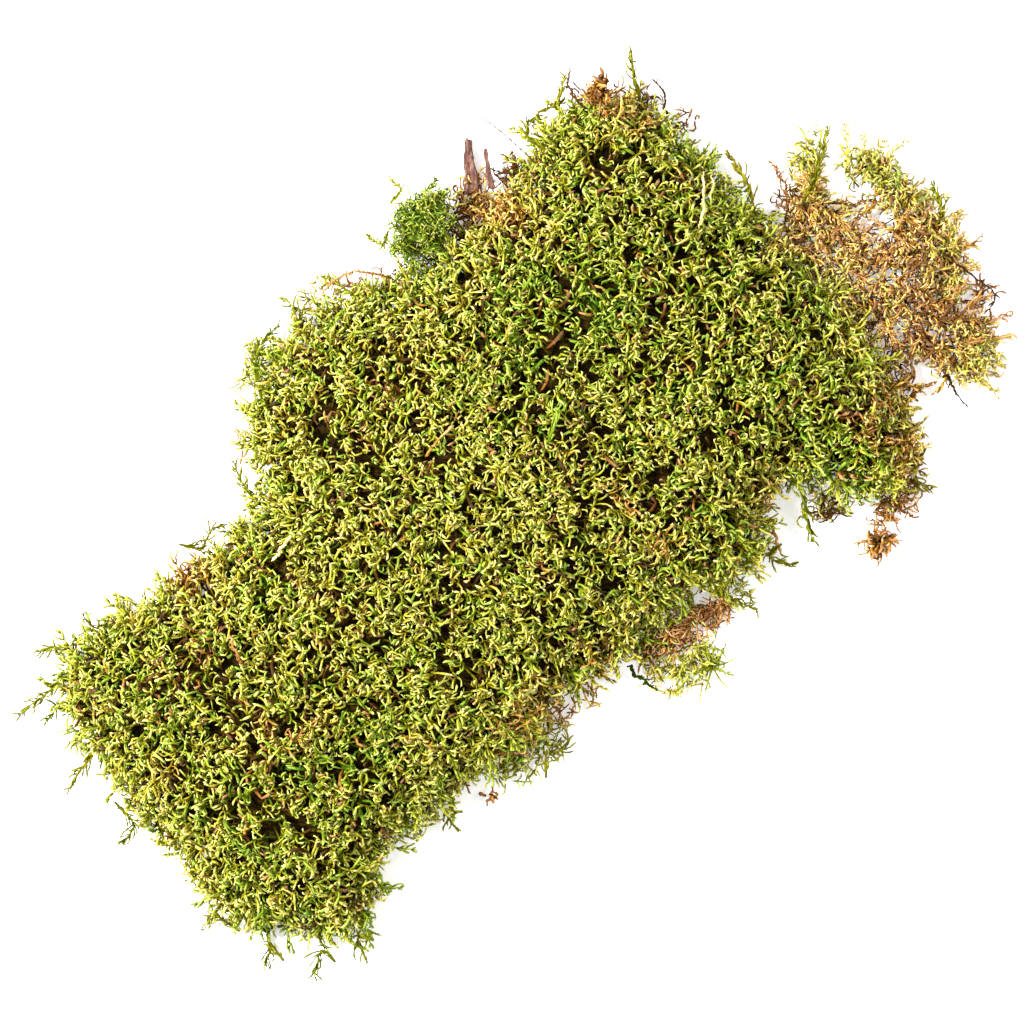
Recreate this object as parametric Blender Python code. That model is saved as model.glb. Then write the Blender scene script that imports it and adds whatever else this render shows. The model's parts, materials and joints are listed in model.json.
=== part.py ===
"""A peeled clump of feather moss, lying flat, with its dry end and the litter caught in it.

Run with blender --background --python part.py, or from Blender's text editor. Metres, +Z up.
The origin is on the ground under the middle of the clump; +X runs along its length, to the dry end.
Outlines and routes are in millimetres, seen from above, and each route also gives its height.
"""

import math

import bmesh
import bpy
import numpy as np
from mathutils import Vector, noise
from mathutils.bvhtree import BVHTree

MM = 0.001

# Driving dimensions, in millimetres.
CROWN_HEIGHT = 30.0
RIM_HEIGHT = 10.0
SHOULDER_WIDTH = 17.0
LUMP_HEIGHT = 3.0
LUMP_SPACING = 34.0
MAT_CELL = 6.0
LOBE_HEIGHT = 12.0
LOBE_RIM_HEIGHT = 5.0
LOBE_CELL = 3.8
GAP = 0.45
BURIED = 8.0
ROUTE_STEP = 3.2
WRAP_SAMPLES = 8
CHIP_TAPER = 0.45
CHIP_BEVEL = 0.18
CLOD_GRAIN = 1.7
CLOD_FLAT = 0.46
SCRAP_SPREAD = 5.5

# The edge of the dense mat, anticlockwise from its lower left.
MAT_EDGE = (
    (-147, -34), (-144, -50), (-133, -62), (-120, -70), (-108, -67), (-98, -60), (-84, -58),
    (-70, -60), (-57, -62), (-49, -67), (-40, -64), (-30, -60), (-14, -62), (2, -61), (16, -61),
    (30, -64), (44, -67), (54, -60), (67, -58), (76, -66), (82, -76), (94, -79), (104, -69),
    (110, -53), (113, -30), (113, -6), (111, 18), (111, 42), (109, 60), (98, 68), (84, 71),
    (70, 66), (56, 63), (42, 63), (30, 62), (19, 66), (6, 73), (-8, 77), (-24, 74), (-38, 66),
    (-48, 57), (-52, 46), (-64, 43), (-82, 42), (-97, 44), (-114, 48), (-130, 49), (-141, 41),
    (-142, 22), (-146, 2), (-145, -16),
)

# The dry end is open in the middle, where the ground shows through.
LOBE_EDGE = (
    (114, 3), (121, 2), (129, 4), (140, 2), (150, 0), (153, -12), (151, -24), (153, -37),
    (149, -42), (139, -49), (140, -61), (138, -69), (128, -69), (124, -59), (118, -50), (115, -34),
)
LOBE_HOLE = ((130, -15), (139, -15), (139, -8), (130, -8))


class Moss:
    """Colours and roughness of the pieces, as Principled finishes."""

    GREEN = ("moss_green", (0.24, 0.28, 0.035), 0.8)
    BRIGHT = ("bright_green", (0.13, 0.27, 0.03), 0.75)
    PALE = ("pale_shoot", (0.42, 0.45, 0.10), 0.75)
    DRY = ("dry_tan", (0.45, 0.25, 0.10), 0.85)
    BARK = ("bark_brown", (0.20, 0.09, 0.05), 0.9)
    HUSK = ("husk_tan", (0.55, 0.33, 0.20), 0.85)
    DARK = ("dark_stem", (0.035, 0.022, 0.015), 0.7)
    STRAW = ("straw", (0.62, 0.52, 0.36), 0.7)


def finish(spec):
    """A Principled material from a name, a colour and a roughness, made once."""
    name, colour, roughness = spec
    material = bpy.data.materials.get(name)
    if material is None:
        material = bpy.data.materials.new(name)
        material.use_nodes = True
        shader = material.node_tree.nodes["Principled BSDF"]
        shader.inputs["Base Color"].default_value = (*colour, 1.0)
        shader.inputs["Roughness"].default_value = roughness
        shader.inputs["Metallic"].default_value = 0.0
    return material


def clear_scene():
    """Remove every object of the scene."""
    for thing in list(bpy.data.objects):
        bpy.data.objects.remove(thing, do_unlink=True)


def place(thing, spec, parts):
    """Give an object its finish and put it in the clump's collection."""
    thing.data.materials.append(finish(spec))
    parts.objects.link(thing)
    return thing


def mesh_object(name, shape, spec, parts):
    """A named object from a bmesh, which is freed."""
    bmesh.ops.recalc_face_normals(shape, faces=shape.faces[:])
    mesh = bpy.data.meshes.new(name)
    shape.to_mesh(mesh)
    shape.free()
    return place(bpy.data.objects.new(name, mesh), spec, parts)


# Outlines and heights -----------------------------------------------------------------------


def rounded(points, steps=3):
    """A closed loop read from a smooth curve through the points, as an array in millimetres."""
    knots = np.array(points, float)
    before, after, beyond = np.roll(knots, 1, 0), np.roll(knots, -1, 0), np.roll(knots, -2, 0)
    rows = []
    for i in range(steps):
        t = i / steps
        rows.append(
            0.5 * (2 * knots + (after - before) * t
                   + (2 * before - 5 * knots + 4 * after - beyond) * t ** 2
                   + (3 * knots - before - 3 * after + beyond) * t ** 3)
        )
    return np.stack(rows, 1).reshape(-1, 2)


def nearest_on_loop(loop, point):
    """The nearest point of a closed loop, and its distance."""
    start, end = loop, np.roll(loop, -1, 0)
    run = end - start
    share = ((point - start) * run).sum(1) / (run * run).sum(1)
    foot = start + run * np.clip(share, 0, 1)[:, None]
    away = np.linalg.norm(foot - point, axis=1)
    return foot[away.argmin()], away.min()


def inside(loop, point):
    """Whether a point lies within a closed loop."""
    x0, y0 = loop.T
    x1, y1 = np.roll(loop, -1, 0).T
    crosses = (y0 > point[1]) != (y1 > point[1])
    at = x0 + (point[1] - y0) * (x1 - x0) / np.where(y1 == y0, 1e-9, y1 - y0)
    return bool((crosses & (point[0] < at)).sum() % 2)


def lump(x, y, seed):
    """Low mounds over the surface, from -1 to 1."""
    return noise.noise(Vector((x / LUMP_SPACING, y / LUMP_SPACING, seed))) * 1.6


def cushion(name, edge, spec, parts, height, rim, cell, hole=None):
    """A domed, lumpy cushion on a flat base: a grid trimmed to its edge, raised and closed below.

    Args:
        edge: the outline's points; hole: the outline of an opening through it, or None.
        height, rim: its height at the crown and at the edge; cell: the size of its facets.
    """
    loops = [rounded(edge)] + ([rounded(hole, 2)] if hole else [])
    low, high = loops[0].min(0) - cell, loops[0].max(0) + cell
    counts = np.ceil((high - low) / cell).astype(int)
    shape = bmesh.new()
    bmesh.ops.create_grid(shape, x_segments=int(counts[0]), y_segments=int(counts[1]), size=0.5)
    outside = []
    for vert in shape.verts:
        point = low + (np.array(vert.co.xy) + 0.5) * (high - low)
        vert.co = (*point, 0.0)
        margin = min(nearest_on_loop(loop, point)[1] for loop in loops)
        kept = inside(loops[0], point) and not (hole and inside(loops[1], point))
        if not kept or margin < 0.3 * cell:
            outside.append(vert)
    bmesh.ops.delete(shape, geom=outside, context="VERTS")
    loose = [v for v in shape.verts if not v.link_faces]
    bmesh.ops.delete(shape, geom=loose, context="VERTS")
    for vert in shape.verts:
        if vert.is_boundary:
            point = np.array(vert.co.xy)
            foot = min((nearest_on_loop(loop, point) for loop in loops), key=lambda pair: pair[1])[0]
            vert.co.xy = point + (foot - point) * 0.94
    base = shape.faces[:]
    raised = bmesh.ops.extrude_face_region(shape, geom=base, use_keep_orig=True)["geom"]
    for vert in raised:
        if not isinstance(vert, bmesh.types.BMVert):
            continue
        point = np.array(vert.co.xy)
        inward = min(nearest_on_loop(loop, point)[1] for loop in loops)
        rise = 1.0 - math.exp(-inward / SHOULDER_WIDTH)
        ripple = lump(*point, height) * LUMP_HEIGHT * rise * (height / CROWN_HEIGHT)
        vert.co.z = rim + (height - rim) * rise + ripple
    if hole is None:
        bmesh.ops.dissolve_faces(shape, faces=base)
    bmesh.ops.scale(shape, vec=(MM, MM, MM), verts=shape.verts[:])
    return mesh_object(name, shape, spec, parts)


# Solid surfaces that the thin pieces stay clear of ------------------------------------------


class Ground:
    """The bulky pieces, as surfaces that a thin piece rests on or stops at."""

    def __init__(self, solids):
        depsgraph = bpy.context.evaluated_depsgraph_get()
        self.trees = [BVHTree.FromObject(solid, depsgraph) for solid in solids]

    def top(self, x, y, radius):
        """The highest surface under a round spot, in millimetres above the ground."""
        highest = 0.0
        for k in range(WRAP_SAMPLES):
            turn = 2 * math.pi * k / WRAP_SAMPLES
            spot = Vector((x + radius * math.cos(turn), y + radius * math.sin(turn), 99.0)) * MM
            for tree in self.trees:
                hit = tree.ray_cast(spot, Vector((0, 0, -1)))[0]
                highest = max(highest, hit.z / MM if hit else 0.0)
        return highest

    def clear_of(self, point, radius):
        """Whether a ball of this radius, plus the gap, is outside every bulky piece."""
        for tree in self.trees:
            foot, normal, _, away = tree.find_nearest(Vector(point) * MM)
            buried = (Vector(point) * MM - foot).dot(normal) < 0 and away < BURIED * MM
            if buried or away < (radius + GAP) * MM:
                return False
        return True


def along(route):
    """Points every few millimetres of a smooth line through the route's points."""
    knots = np.array(route, float)
    knots = np.vstack([2 * knots[0] - knots[1], knots, 2 * knots[-1] - knots[-2]])
    points = []
    for i in range(1, len(knots) - 2):
        a, b, c, d = knots[i - 1:i + 3]
        steps = max(1, round(float(np.linalg.norm(c - b)) / ROUTE_STEP))
        for k in range(steps):
            t = k / steps
            points.append(
                0.5 * (2 * b + (c - a) * t + (2 * a - 5 * b + 4 * c - d) * t ** 2
                       + (3 * b - a - 3 * c + d) * t ** 3)
            )
    return points + [knots[-2]]


def strand(name, points, radius, spec, parts, tip=0.45):
    """A tapering round strand through points in millimetres: a filled, bevelled curve."""
    curve = bpy.data.curves.new(name, "CURVE")
    curve.dimensions = "3D"
    curve.bevel_depth = radius * MM
    curve.bevel_resolution = 1
    curve.use_fill_caps = True
    spline = curve.splines.new("POLY")
    spline.points.add(len(points) - 1)
    for i, point in enumerate(points):
        spline.points[i].co = (*(np.array(point) * MM), 1.0)
        spline.points[i].radius = 1.0 - (1.0 - tip) * i / (len(points) - 1)
    return place(bpy.data.objects.new(name, curve), spec, parts)


def reaching(name, route, radius, spec, parts, ground, tip=0.45):
    """A strand that starts just clear of the bulky pieces and runs outwards to its tip."""
    points = along(route)
    first = len(points) - 1
    while first > 0 and ground.clear_of(points[first - 1], radius):
        first -= 1
    first = min(first, len(points) - 2)
    return strand(name, points[first:], radius, spec, parts, tip)


def lying(name, route, radius, spec, parts, ground, tip=0.6):
    """A strand that lies on top of the mat, along a route seen from above."""
    points = []
    for x, y in along(route):
        points.append((x, y, ground.top(x, y, radius + ROUTE_STEP) + radius + GAP))
    return strand(name, points, radius, spec, parts, tip)


def flake(name, edge, low, thickness, spec, parts):
    """A flat piece with a rounded outline: a filled plane curve, extruded."""
    curve = bpy.data.curves.new(name, "CURVE")
    curve.dimensions = "2D"
    curve.fill_mode = "BOTH"
    curve.extrude = 0.5 * thickness * MM
    spline = curve.splines.new("POLY")
    spline.points.add(len(edge) - 1)
    for i, point in enumerate(edge):
        spline.points[i].co = (point[0] * MM, point[1] * MM, 0.0, 1.0)
    spline.use_cyclic_u = True
    piece = bpy.data.objects.new(name, curve)
    piece.location.z = (low + 0.5 * thickness) * MM
    return place(piece, spec, parts)


def clod(name, centre, size, spec, parts, detail=2, roughness=0.18, turn=0.0):
    """A lumpy, rounded piece: an icosphere, stretched, roughened and turned about Z."""
    shape = bmesh.new()
    bmesh.ops.create_icosphere(shape, subdivisions=detail, radius=1.0)
    cos, sin = math.cos(turn), math.sin(turn)
    for vert in shape.verts:
        grain = 1.0 + roughness * noise.noise(vert.co * CLOD_GRAIN + Vector(centre))
        x, y, z = (vert.co[k] * size[k] * 0.5 * grain for k in range(3))
        z = max(z, -CLOD_FLAT * size[2])
        vert.co = Vector((centre[0] + x * cos - y * sin, centre[1] + x * sin + y * cos,
                          centre[2] + z)) * MM
    return mesh_object(name, shape, spec, parts)


def chip(name, start, end, width, thickness, low, parts):
    """A split piece of bark: a bevelled block that narrows to one end."""
    run = Vector((end[0] - start[0], end[1] - start[1]))
    angle = math.atan2(run.y, run.x)
    shape = bmesh.new()
    bmesh.ops.create_cube(shape, size=1.0)
    for vert in shape.verts:
        narrow = 1.0 if vert.co.x < 0 else CHIP_TAPER
        vert.co = Vector((vert.co.x * run.length, vert.co.y * width * narrow,
                          vert.co.z * thickness * (0.6 + 0.4 * narrow))) * MM
    bmesh.ops.bevel(shape, geom=shape.edges[:], offset=CHIP_BEVEL * thickness * MM, segments=1,
                    affect="EDGES")
    piece = mesh_object(name, shape, Moss.BARK, parts)
    piece.location = Vector(((start[0] + end[0]) / 2, (start[1] + end[1]) / 2,
                             low + thickness / 2)) * MM
    piece.rotation_euler.z = angle
    return piece


# The pieces ------------------------------------------------------------------------------------


def build_bulk(parts):
    """The mat, its dry end and the bright tuft: what the thin pieces stay clear of."""
    mat = cushion("moss_mat", MAT_EDGE, Moss.GREEN, parts, CROWN_HEIGHT, RIM_HEIGHT, MAT_CELL)
    lobe = cushion("dry_moss_lobe", LOBE_EDGE, Moss.DRY, parts, LOBE_HEIGHT, LOBE_RIM_HEIGHT,
                   LOBE_CELL, LOBE_HOLE)
    tuft = clod("green_tuft", (36, 74.5, 8.6), (20, 13.5, 16), Moss.BRIGHT, parts, 3, 0.3)
    return [mat, lobe, tuft]


def build_litter(parts, ground):
    """Bark, leaf, husk and crumbs caught along the edges; the leaf scrap lies on the mat's rim."""
    chip("bark_chip", (53.5, 72.3), (63.2, 85.6), 5.0, 2.6, 0.5, parts)
    chip("bark_splinter", (58.6, 69.4), (65.4, 79.8), 2.2, 1.8, 4.5, parts)
    length, width, height = 11.0, 7.0, 5.0
    x, y = 101.5, 69.0
    low = ground.top(x, y, SCRAP_SPREAD) + GAP
    clod("dry_leaf_scrap", (x, y, low + CLOD_FLAT * height), (length, width, height), Moss.HUSK,
         parts, 2, 0.5, 0.3)
    clod("tan_husk", (74, -89, 2.9), (13, 8.2, 6), Moss.HUSK, parts, 2, 0.35)
    clod("brown_crumb", (-65.5, -67, 1.6), (6, 3.4, 3.2), Moss.BARK, parts, 1, 0.3, 0.6)
    clod("dark_crumb", (69, -72, 1.3), (3.6, 2.8, 2.6), Moss.DARK, parts, 1, 0.3)


def feather_outline(start, end, width, teeth):
    """The outline of a feathered frond: narrow at its base and tip, with a toothed edge."""
    run = np.array(end, float) - start
    across = np.array([-run[1], run[0]]) / np.linalg.norm(run)
    sides = []
    for side in (1, -1):
        edge = []
        for i in range(2 * teeth + 1):
            t = i / (2 * teeth)
            reach = 0.5 * width * math.sin(math.pi * (0.12 + 0.8 * t)) * (1.0 if i % 2 else 0.62)
            edge.append(start + run * t + across * side * reach)
        sides.append(edge)
    return sides[0] + sides[1][::-1]


def star_outline(centre, radius, arms):
    """A star of narrow arms of unlike length."""
    points = []
    for i in range(2 * arms):
        reach = radius * (0.36 if i % 2 else 0.78 + 0.22 * math.sin(2.4 * i))
        turn = math.pi * i / arms
        points.append((centre[0] + reach * math.cos(turn), centre[1] + reach * math.sin(turn)))
    return points


def build_fronds(parts):
    """The dead frond and the star-shaped shoot, both flat on the ground."""
    flake("dead_frond", feather_outline((3, -67.5), (27, -72.5), 8.0, 8), 0.4, 1.6, Moss.DRY, parts)
    flake("star_shoot", star_outline((12, -83), 9.5, 7), 0.4, 2.0, Moss.BRIGHT, parts)


def build_on_top(parts, ground):
    """What lies loose on top of the mat."""
    lying("forked_rootlet", ((97, 19), (101, 22), (104, 25), (107.5, 29)), 0.6, Moss.STRAW, parts,
          ground)
    lying("rootlet_arm", ((105.8, 23.6), (108, 24.8), (109.6, 27.5)), 0.5, Moss.STRAW, parts, ground)
    lying("dry_needle", ((-9, 22), (-4, 23), (1, 23)), 0.6, Moss.HUSK, parts, ground)
    lying("light_stick", ((-64, 29.5), (-56, 31)), 0.8, Moss.STRAW, parts, ground)
    lying("orange_dead_shoot", ((-89, 21), (-91, 17), (-92, 13)), 1.1, Moss.DRY, parts, ground)
    lying("bright_surface_shoot", ((20, 1), (27, 5), (36, 10)), 1.4, Moss.BRIGHT, parts, ground)


# Each strand: name, finish, radius, and a route that starts in the mat and runs to the tip.
EDGE_STRANDS = (
    ("arched_dry_stem", Moss.DRY, 0.9, ((17, 62, 9), (17, 70, 9), (12, 77, 12), (5, 80.5, 8),
                                        (-1, 80, 4))),
    ("dark_dried_shoot", Moss.BARK, 1.2, ((66, 60, 6), (68, 69, 6), (71, 74, 4))),
    ("fine_hair", Moss.STRAW, 0.35, ((74, 62, 8), (73, 72, 8), (72.5, 79, 6), (71, 88, 3))),
    ("leaf_scrap_stalk", Moss.BARK, 0.7, ((95, 64, 8), (95.5, 71, 8), (97, 78, 5), (100, 80, 3))),
    ("dark_green_shoot", Moss.GREEN, 1.6, ((-8, -55, 6), (-8, -63, 6), (-6, -76, 3))),
    ("pink_brown_stick", Moss.HUSK, 1.0, ((55, -54, 5), (54, -62, 5), (50.5, -70, 3))),
    ("black_bent_stem", Moss.DARK, 0.7, ((147, -38, 8), (149.5, -50, 6), (151, -57.5, 3),
                                         (145, -58.5, 2.5))),
    ("dark_hook_stem", Moss.DARK, 0.6, ((106, 50, 7), (113, 52, 7), (117, 56, 6), (117, 61, 4))),
    ("thin_black_stalk", Moss.DARK, 0.6, ((125, -62, 4), (122.5, -68, 4), (122, -76, 2))),
    ("wiry_dead_shoot", Moss.BARK, 0.9, ((121, -4, 6), (121.5, 5, 6), (125, 10, 5), (127, 19, 3))),
    ("brown_dead_shoot", Moss.BARK, 0.9, ((104, -62, 5), (111, -62, 5), (119, -64, 3))),
    ("brown_wiry_shoot", Moss.BARK, 0.8, ((84, -70, 4), (84, -80, 4), (87.5, -91, 2.2))),
)

# The single green shoots that stand clear of the edge, named for where they are.
GREEN_SHOOTS = {
    "tuft": (
        ((32, 72, 8), (25, 76, 8), (21, 84, 5)),
        ((35, 76, 9), (36.5, 84, 8), (38, 93, 5)),
        ((40, 76, 9), (44.5, 81.5, 7), (48.5, 83, 4)),
    ),
    "top": (
        ((105, 56, 8), (111, 63, 8), (118, 72, 4)),
        ((74, 60, 10), (77, 74, 10), (81, 77, 8), (84, 75, 5)),
        ((88, 66, 8), (90, 74, 8), (98, 80.5, 3.5)),
        ((-32, 66, 8), (-31, 77, 8), (-25, 81, 6), (-17, 82, 3)),
        ((-6, 72, 8), (-9, 80, 6), (-11, 88, 3)),
        ((5, 68, 6), (5.5, 76, 5), (3, 84.5, 2.5)),
        ((-56, 40, 8), (-57.5, 50, 7), (-55, 60, 3.5)),
        ((-83, 38, 8), (-79, 46, 8), (-74, 50, 6), (-70, 48, 4)),
        ((-121, 44, 8), (-129, 52, 6), (-138, 57.5, 3)),
    ),
    "left": (
        ((-134, 44, 9), (-143, 46, 7), (-155, 47, 3)),
        ((-138, 38, 8), (-144, 40, 6), (-151, 39.5, 3)),
        ((-138, 22, 8), (-147, 23, 7), (-159, 20, 3)),
        ((-142, -3, 8), (-150, -2, 6), (-158, -3, 3)),
        ((-140, -36, 8), (-148, -37, 6), (-156, -38.5, 3)),
        ((-138, -50, 8), (-144, -56, 6), (-150, -60, 3)),
        ((-126, -62, 8), (-133, -67, 6), (-141, -72, 3)),
        ((-119, -64, 8), (-123, -71, 6), (-126, -79, 3)),
    ),
    "lower": (
        ((-78, -54, 7), (-78.5, -61, 6), (-79, -68, 3)),
        ((-46, -60, 7), (-43.5, -68, 6), (-39.5, -72, 4), (-35, -69, 3.5)),
        ((23, -56, 7), (25, -63, 12), (30, -72, 8), (33, -80, 4)),
        ((44, -60, 7), (46, -69, 6), (50.5, -76.5, 3)),
        ((70, -54, 8), (66, -63, 7), (61, -72, 4), (60, -76, 3)),
        ((92, -72, 8), (94.5, -80, 6), (97, -88, 3)),
    ),
    "right": (
        ((106, 8, 9), (114, 13, 9), (117.5, 20, 7), (119, 30, 4)),
        ((126, -3, 7), (131.5, 5, 7), (138, 9, 6), (147, 15, 3)),
        ((146, -32, 7), (154, -29, 6), (159, -19, 3.5)),
    ),
}


def build_edge_strands(parts, ground):
    """Dry stems and single shoots that stick out past the edge."""
    for name, spec, radius, route in EDGE_STRANDS:
        reaching(name, route, radius, spec, parts, ground)
    for side, routes in GREEN_SHOOTS.items():
        for number, route in enumerate(routes, 1):
            spec = Moss.BRIGHT if side == "tuft" else Moss.PALE
            reaching(f"{side}_shoot_{number}", route, 1.5, spec, parts, ground)


def main():
    """Build the clump."""
    clear_scene()
    parts = bpy.data.collections.new("moss_clump")
    bpy.context.scene.collection.children.link(parts)
    bulk = build_bulk(parts)
    bpy.context.view_layer.update()
    ground = Ground(bulk)
    build_litter(parts, ground)
    build_fronds(parts)
    build_on_top(parts, ground)
    build_edge_strands(parts, ground)


main()
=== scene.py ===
"""Looks of a peeled clump of feather moss: curled shoots, a dry end, and the litter caught in them.

Every shoot is a strand mesh: a tapering, three-sided tube whose rings are turned against each other, so
that its facets overlap like small leaves. Geometry Nodes scatter ready-made sprigs over the mat, and the
single shoots at the edge are grown along the centre lines of the clump's own solids.
"""

import functools
import json
import logging
import math
from dataclasses import dataclass, field, replace
from enum import Enum
from typing import Callable, Sequence

import bmesh
import bpy
import numpy as np
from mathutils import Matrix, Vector, noise
from mathutils.bvhtree import BVHTree

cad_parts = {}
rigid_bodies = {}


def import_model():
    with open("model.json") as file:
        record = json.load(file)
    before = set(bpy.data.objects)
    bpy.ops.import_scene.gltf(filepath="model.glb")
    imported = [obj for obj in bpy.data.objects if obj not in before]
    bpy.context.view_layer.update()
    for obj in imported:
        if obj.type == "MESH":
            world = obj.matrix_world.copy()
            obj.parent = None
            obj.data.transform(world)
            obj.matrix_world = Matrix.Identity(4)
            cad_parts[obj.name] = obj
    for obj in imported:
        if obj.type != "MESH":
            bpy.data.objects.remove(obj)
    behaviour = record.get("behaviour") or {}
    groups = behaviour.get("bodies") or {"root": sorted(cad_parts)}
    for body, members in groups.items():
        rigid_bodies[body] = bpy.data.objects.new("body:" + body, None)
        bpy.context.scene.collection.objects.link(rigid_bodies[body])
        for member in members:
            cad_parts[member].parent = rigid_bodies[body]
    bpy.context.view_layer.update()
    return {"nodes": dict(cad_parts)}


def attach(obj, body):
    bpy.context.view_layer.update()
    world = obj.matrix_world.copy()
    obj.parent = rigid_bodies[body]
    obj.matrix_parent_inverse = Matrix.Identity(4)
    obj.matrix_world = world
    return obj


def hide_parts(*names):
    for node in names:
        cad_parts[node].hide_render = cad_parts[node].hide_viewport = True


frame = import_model()

MM = 0.001
UP = np.array([0.0, 0.0, 1.0])
FULL_TURN = 6.283  # radians
PALETTE_MAP = "OFBake"
PALETTE_EDGE = 0.004  # keeps every strand just inside the palette
BLUNT = 0.55  # a strand's last step, as a share of the others
TINY = 1e-12
log = logging.getLogger("moss_clump")


# Nodes --------------------------------------------------------------------------------------------


class Value:
    """A node socket that arithmetic works on: each operation adds its own Math node."""

    def __init__(self, graph: "Graph", socket: bpy.types.NodeSocket) -> None:
        """Keep the socket with the graph that it belongs to."""
        self.graph = graph
        self.socket = socket

    def _maths(self, operation: str, *terms: object) -> "Value":
        """Add a Math node.

        Args:
            operation: the node's operation.
            terms: its operands in order, as numbers or values.

        Returns:
            The node's result.
        """
        node = self.graph.add("ShaderNodeMath", {"operation": operation}, list(terms))
        return self.graph.value(node)

    def __add__(self, other: object) -> "Value":
        """Sum."""
        return self._maths("ADD", self, other)

    def __radd__(self, other: object) -> "Value":
        """Reflected sum."""
        return self._maths("ADD", other, self)

    def __sub__(self, other: object) -> "Value":
        """Difference."""
        return self._maths("SUBTRACT", self, other)

    def __rsub__(self, other: object) -> "Value":
        """Reflected difference."""
        return self._maths("SUBTRACT", other, self)

    def __mul__(self, other: object) -> "Value":
        """Product."""
        return self._maths("MULTIPLY", self, other)

    def __rmul__(self, other: object) -> "Value":
        """Reflected product."""
        return self._maths("MULTIPLY", other, self)

    def __truediv__(self, other: object) -> "Value":
        """Quotient."""
        return self._maths("DIVIDE", self, other)

    def __pow__(self, other: object) -> "Value":
        """Power."""
        return self._maths("POWER", self, other)

    def sine(self) -> "Value":
        """Sine of the value."""
        return self._maths("SINE", self)

    def clamped(self) -> "Value":
        """The value held between 0 and 1."""
        return self._maths("MINIMUM", self._maths("MAXIMUM", self, 0.0), 1.0)


class Graph:
    """A shader or geometry node tree, with one method that adds any node."""

    def __init__(self, tree: bpy.types.NodeTree) -> None:
        """Keep the tree."""
        self.tree = tree

    def add(self, kind: str, settings: dict | None = None, inputs: object = None) -> bpy.types.Node:
        """Add a node of any type.

        Args:
            kind: the node's type.
            settings: its properties, set first; "stops" gives a colour ramp's stops.
            inputs: its sockets' values or links, as a list in order or a dict by name.

        Returns:
            The node.
        """
        node = self.tree.nodes.new(kind)
        for name, setting in (settings or {}).items():
            if name == "stops":
                self._set_stops(node.color_ramp, setting)
            else:
                setattr(node, name, setting)
        usable = [socket for socket in node.inputs if socket.enabled]
        items = inputs.items() if isinstance(inputs, dict) else enumerate(inputs or [])
        for key, given in items:
            named = isinstance(key, str)
            socket = next(s for s in usable if s.name == key) if named else usable[key]
            self.feed(socket, given)
        return node

    def feed(self, socket: bpy.types.NodeSocket, given: object) -> None:
        """Link a value, a node or a socket to a socket, or set its default."""
        if isinstance(given, Value):
            self.tree.links.new(given.socket, socket)
        elif isinstance(given, bpy.types.Node):
            self.tree.links.new(self.out(given), socket)
        elif isinstance(given, bpy.types.NodeSocket):
            self.tree.links.new(given, socket)
        elif given is not None:
            socket.default_value = given

    @staticmethod
    def _set_stops(ramp: bpy.types.ColorRamp, stops: Sequence[tuple[float, tuple]]) -> None:
        """Give a colour ramp its stops, as places and linear colours."""
        while len(ramp.elements) > 1:
            ramp.elements.remove(ramp.elements[-1])
        ramp.elements[0].position, ramp.elements[0].color = stops[0][0], (*stops[0][1], 1.0)
        for place, colour in stops[1:]:
            ramp.elements.new(place).color = (*colour, 1.0)

    @staticmethod
    def out(node: bpy.types.Node, name: str | None = None) -> bpy.types.NodeSocket:
        """A node's first usable output, or the one with this name."""
        return next(s for s in node.outputs if s.enabled and name in (None, s.name))

    def value(self, node: bpy.types.Node, name: str | None = None) -> Value:
        """A node's output as a value that arithmetic works on."""
        return Value(self, self.out(node, name))

    def feed_shader(self, inputs: dict[str, object]) -> None:
        """Give the surface shader its inputs by name, as links or as constants."""
        shader = self.tree.nodes["Principled BSDF"]
        for name, given in inputs.items():
            self.feed(shader.inputs[name], given)


def new_material(name: str) -> tuple[bpy.types.Material, Graph]:
    """A material with the graph of its nodes."""
    material = bpy.data.materials.new(name)
    material.use_nodes = True
    return material, Graph(material.node_tree)


def new_object(name: str, data: bpy.types.ID) -> bpy.types.Object:
    """An object in the scene."""
    thing = bpy.data.objects.new(name, data)
    bpy.context.scene.collection.objects.link(thing)
    return thing


def mesh_from(shape: bmesh.types.BMesh, name: str) -> bpy.types.Mesh:
    """A worked shape as a mesh; the shape itself is given up."""
    mesh = bpy.data.meshes.new(name)
    shape.to_mesh(mesh)
    shape.free()
    return mesh


# Finishes -----------------------------------------------------------------------------------------


class Slot(str, Enum):
    """The record's material slots."""

    MOSS = "moss_green"
    BRIGHT = "bright_green"
    PALE = "pale_shoot"
    DRY = "dry_tan"
    BARK = "bark_brown"
    HUSK = "husk_tan"
    DARK = "dark_stem"
    STRAW = "straw"


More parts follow.
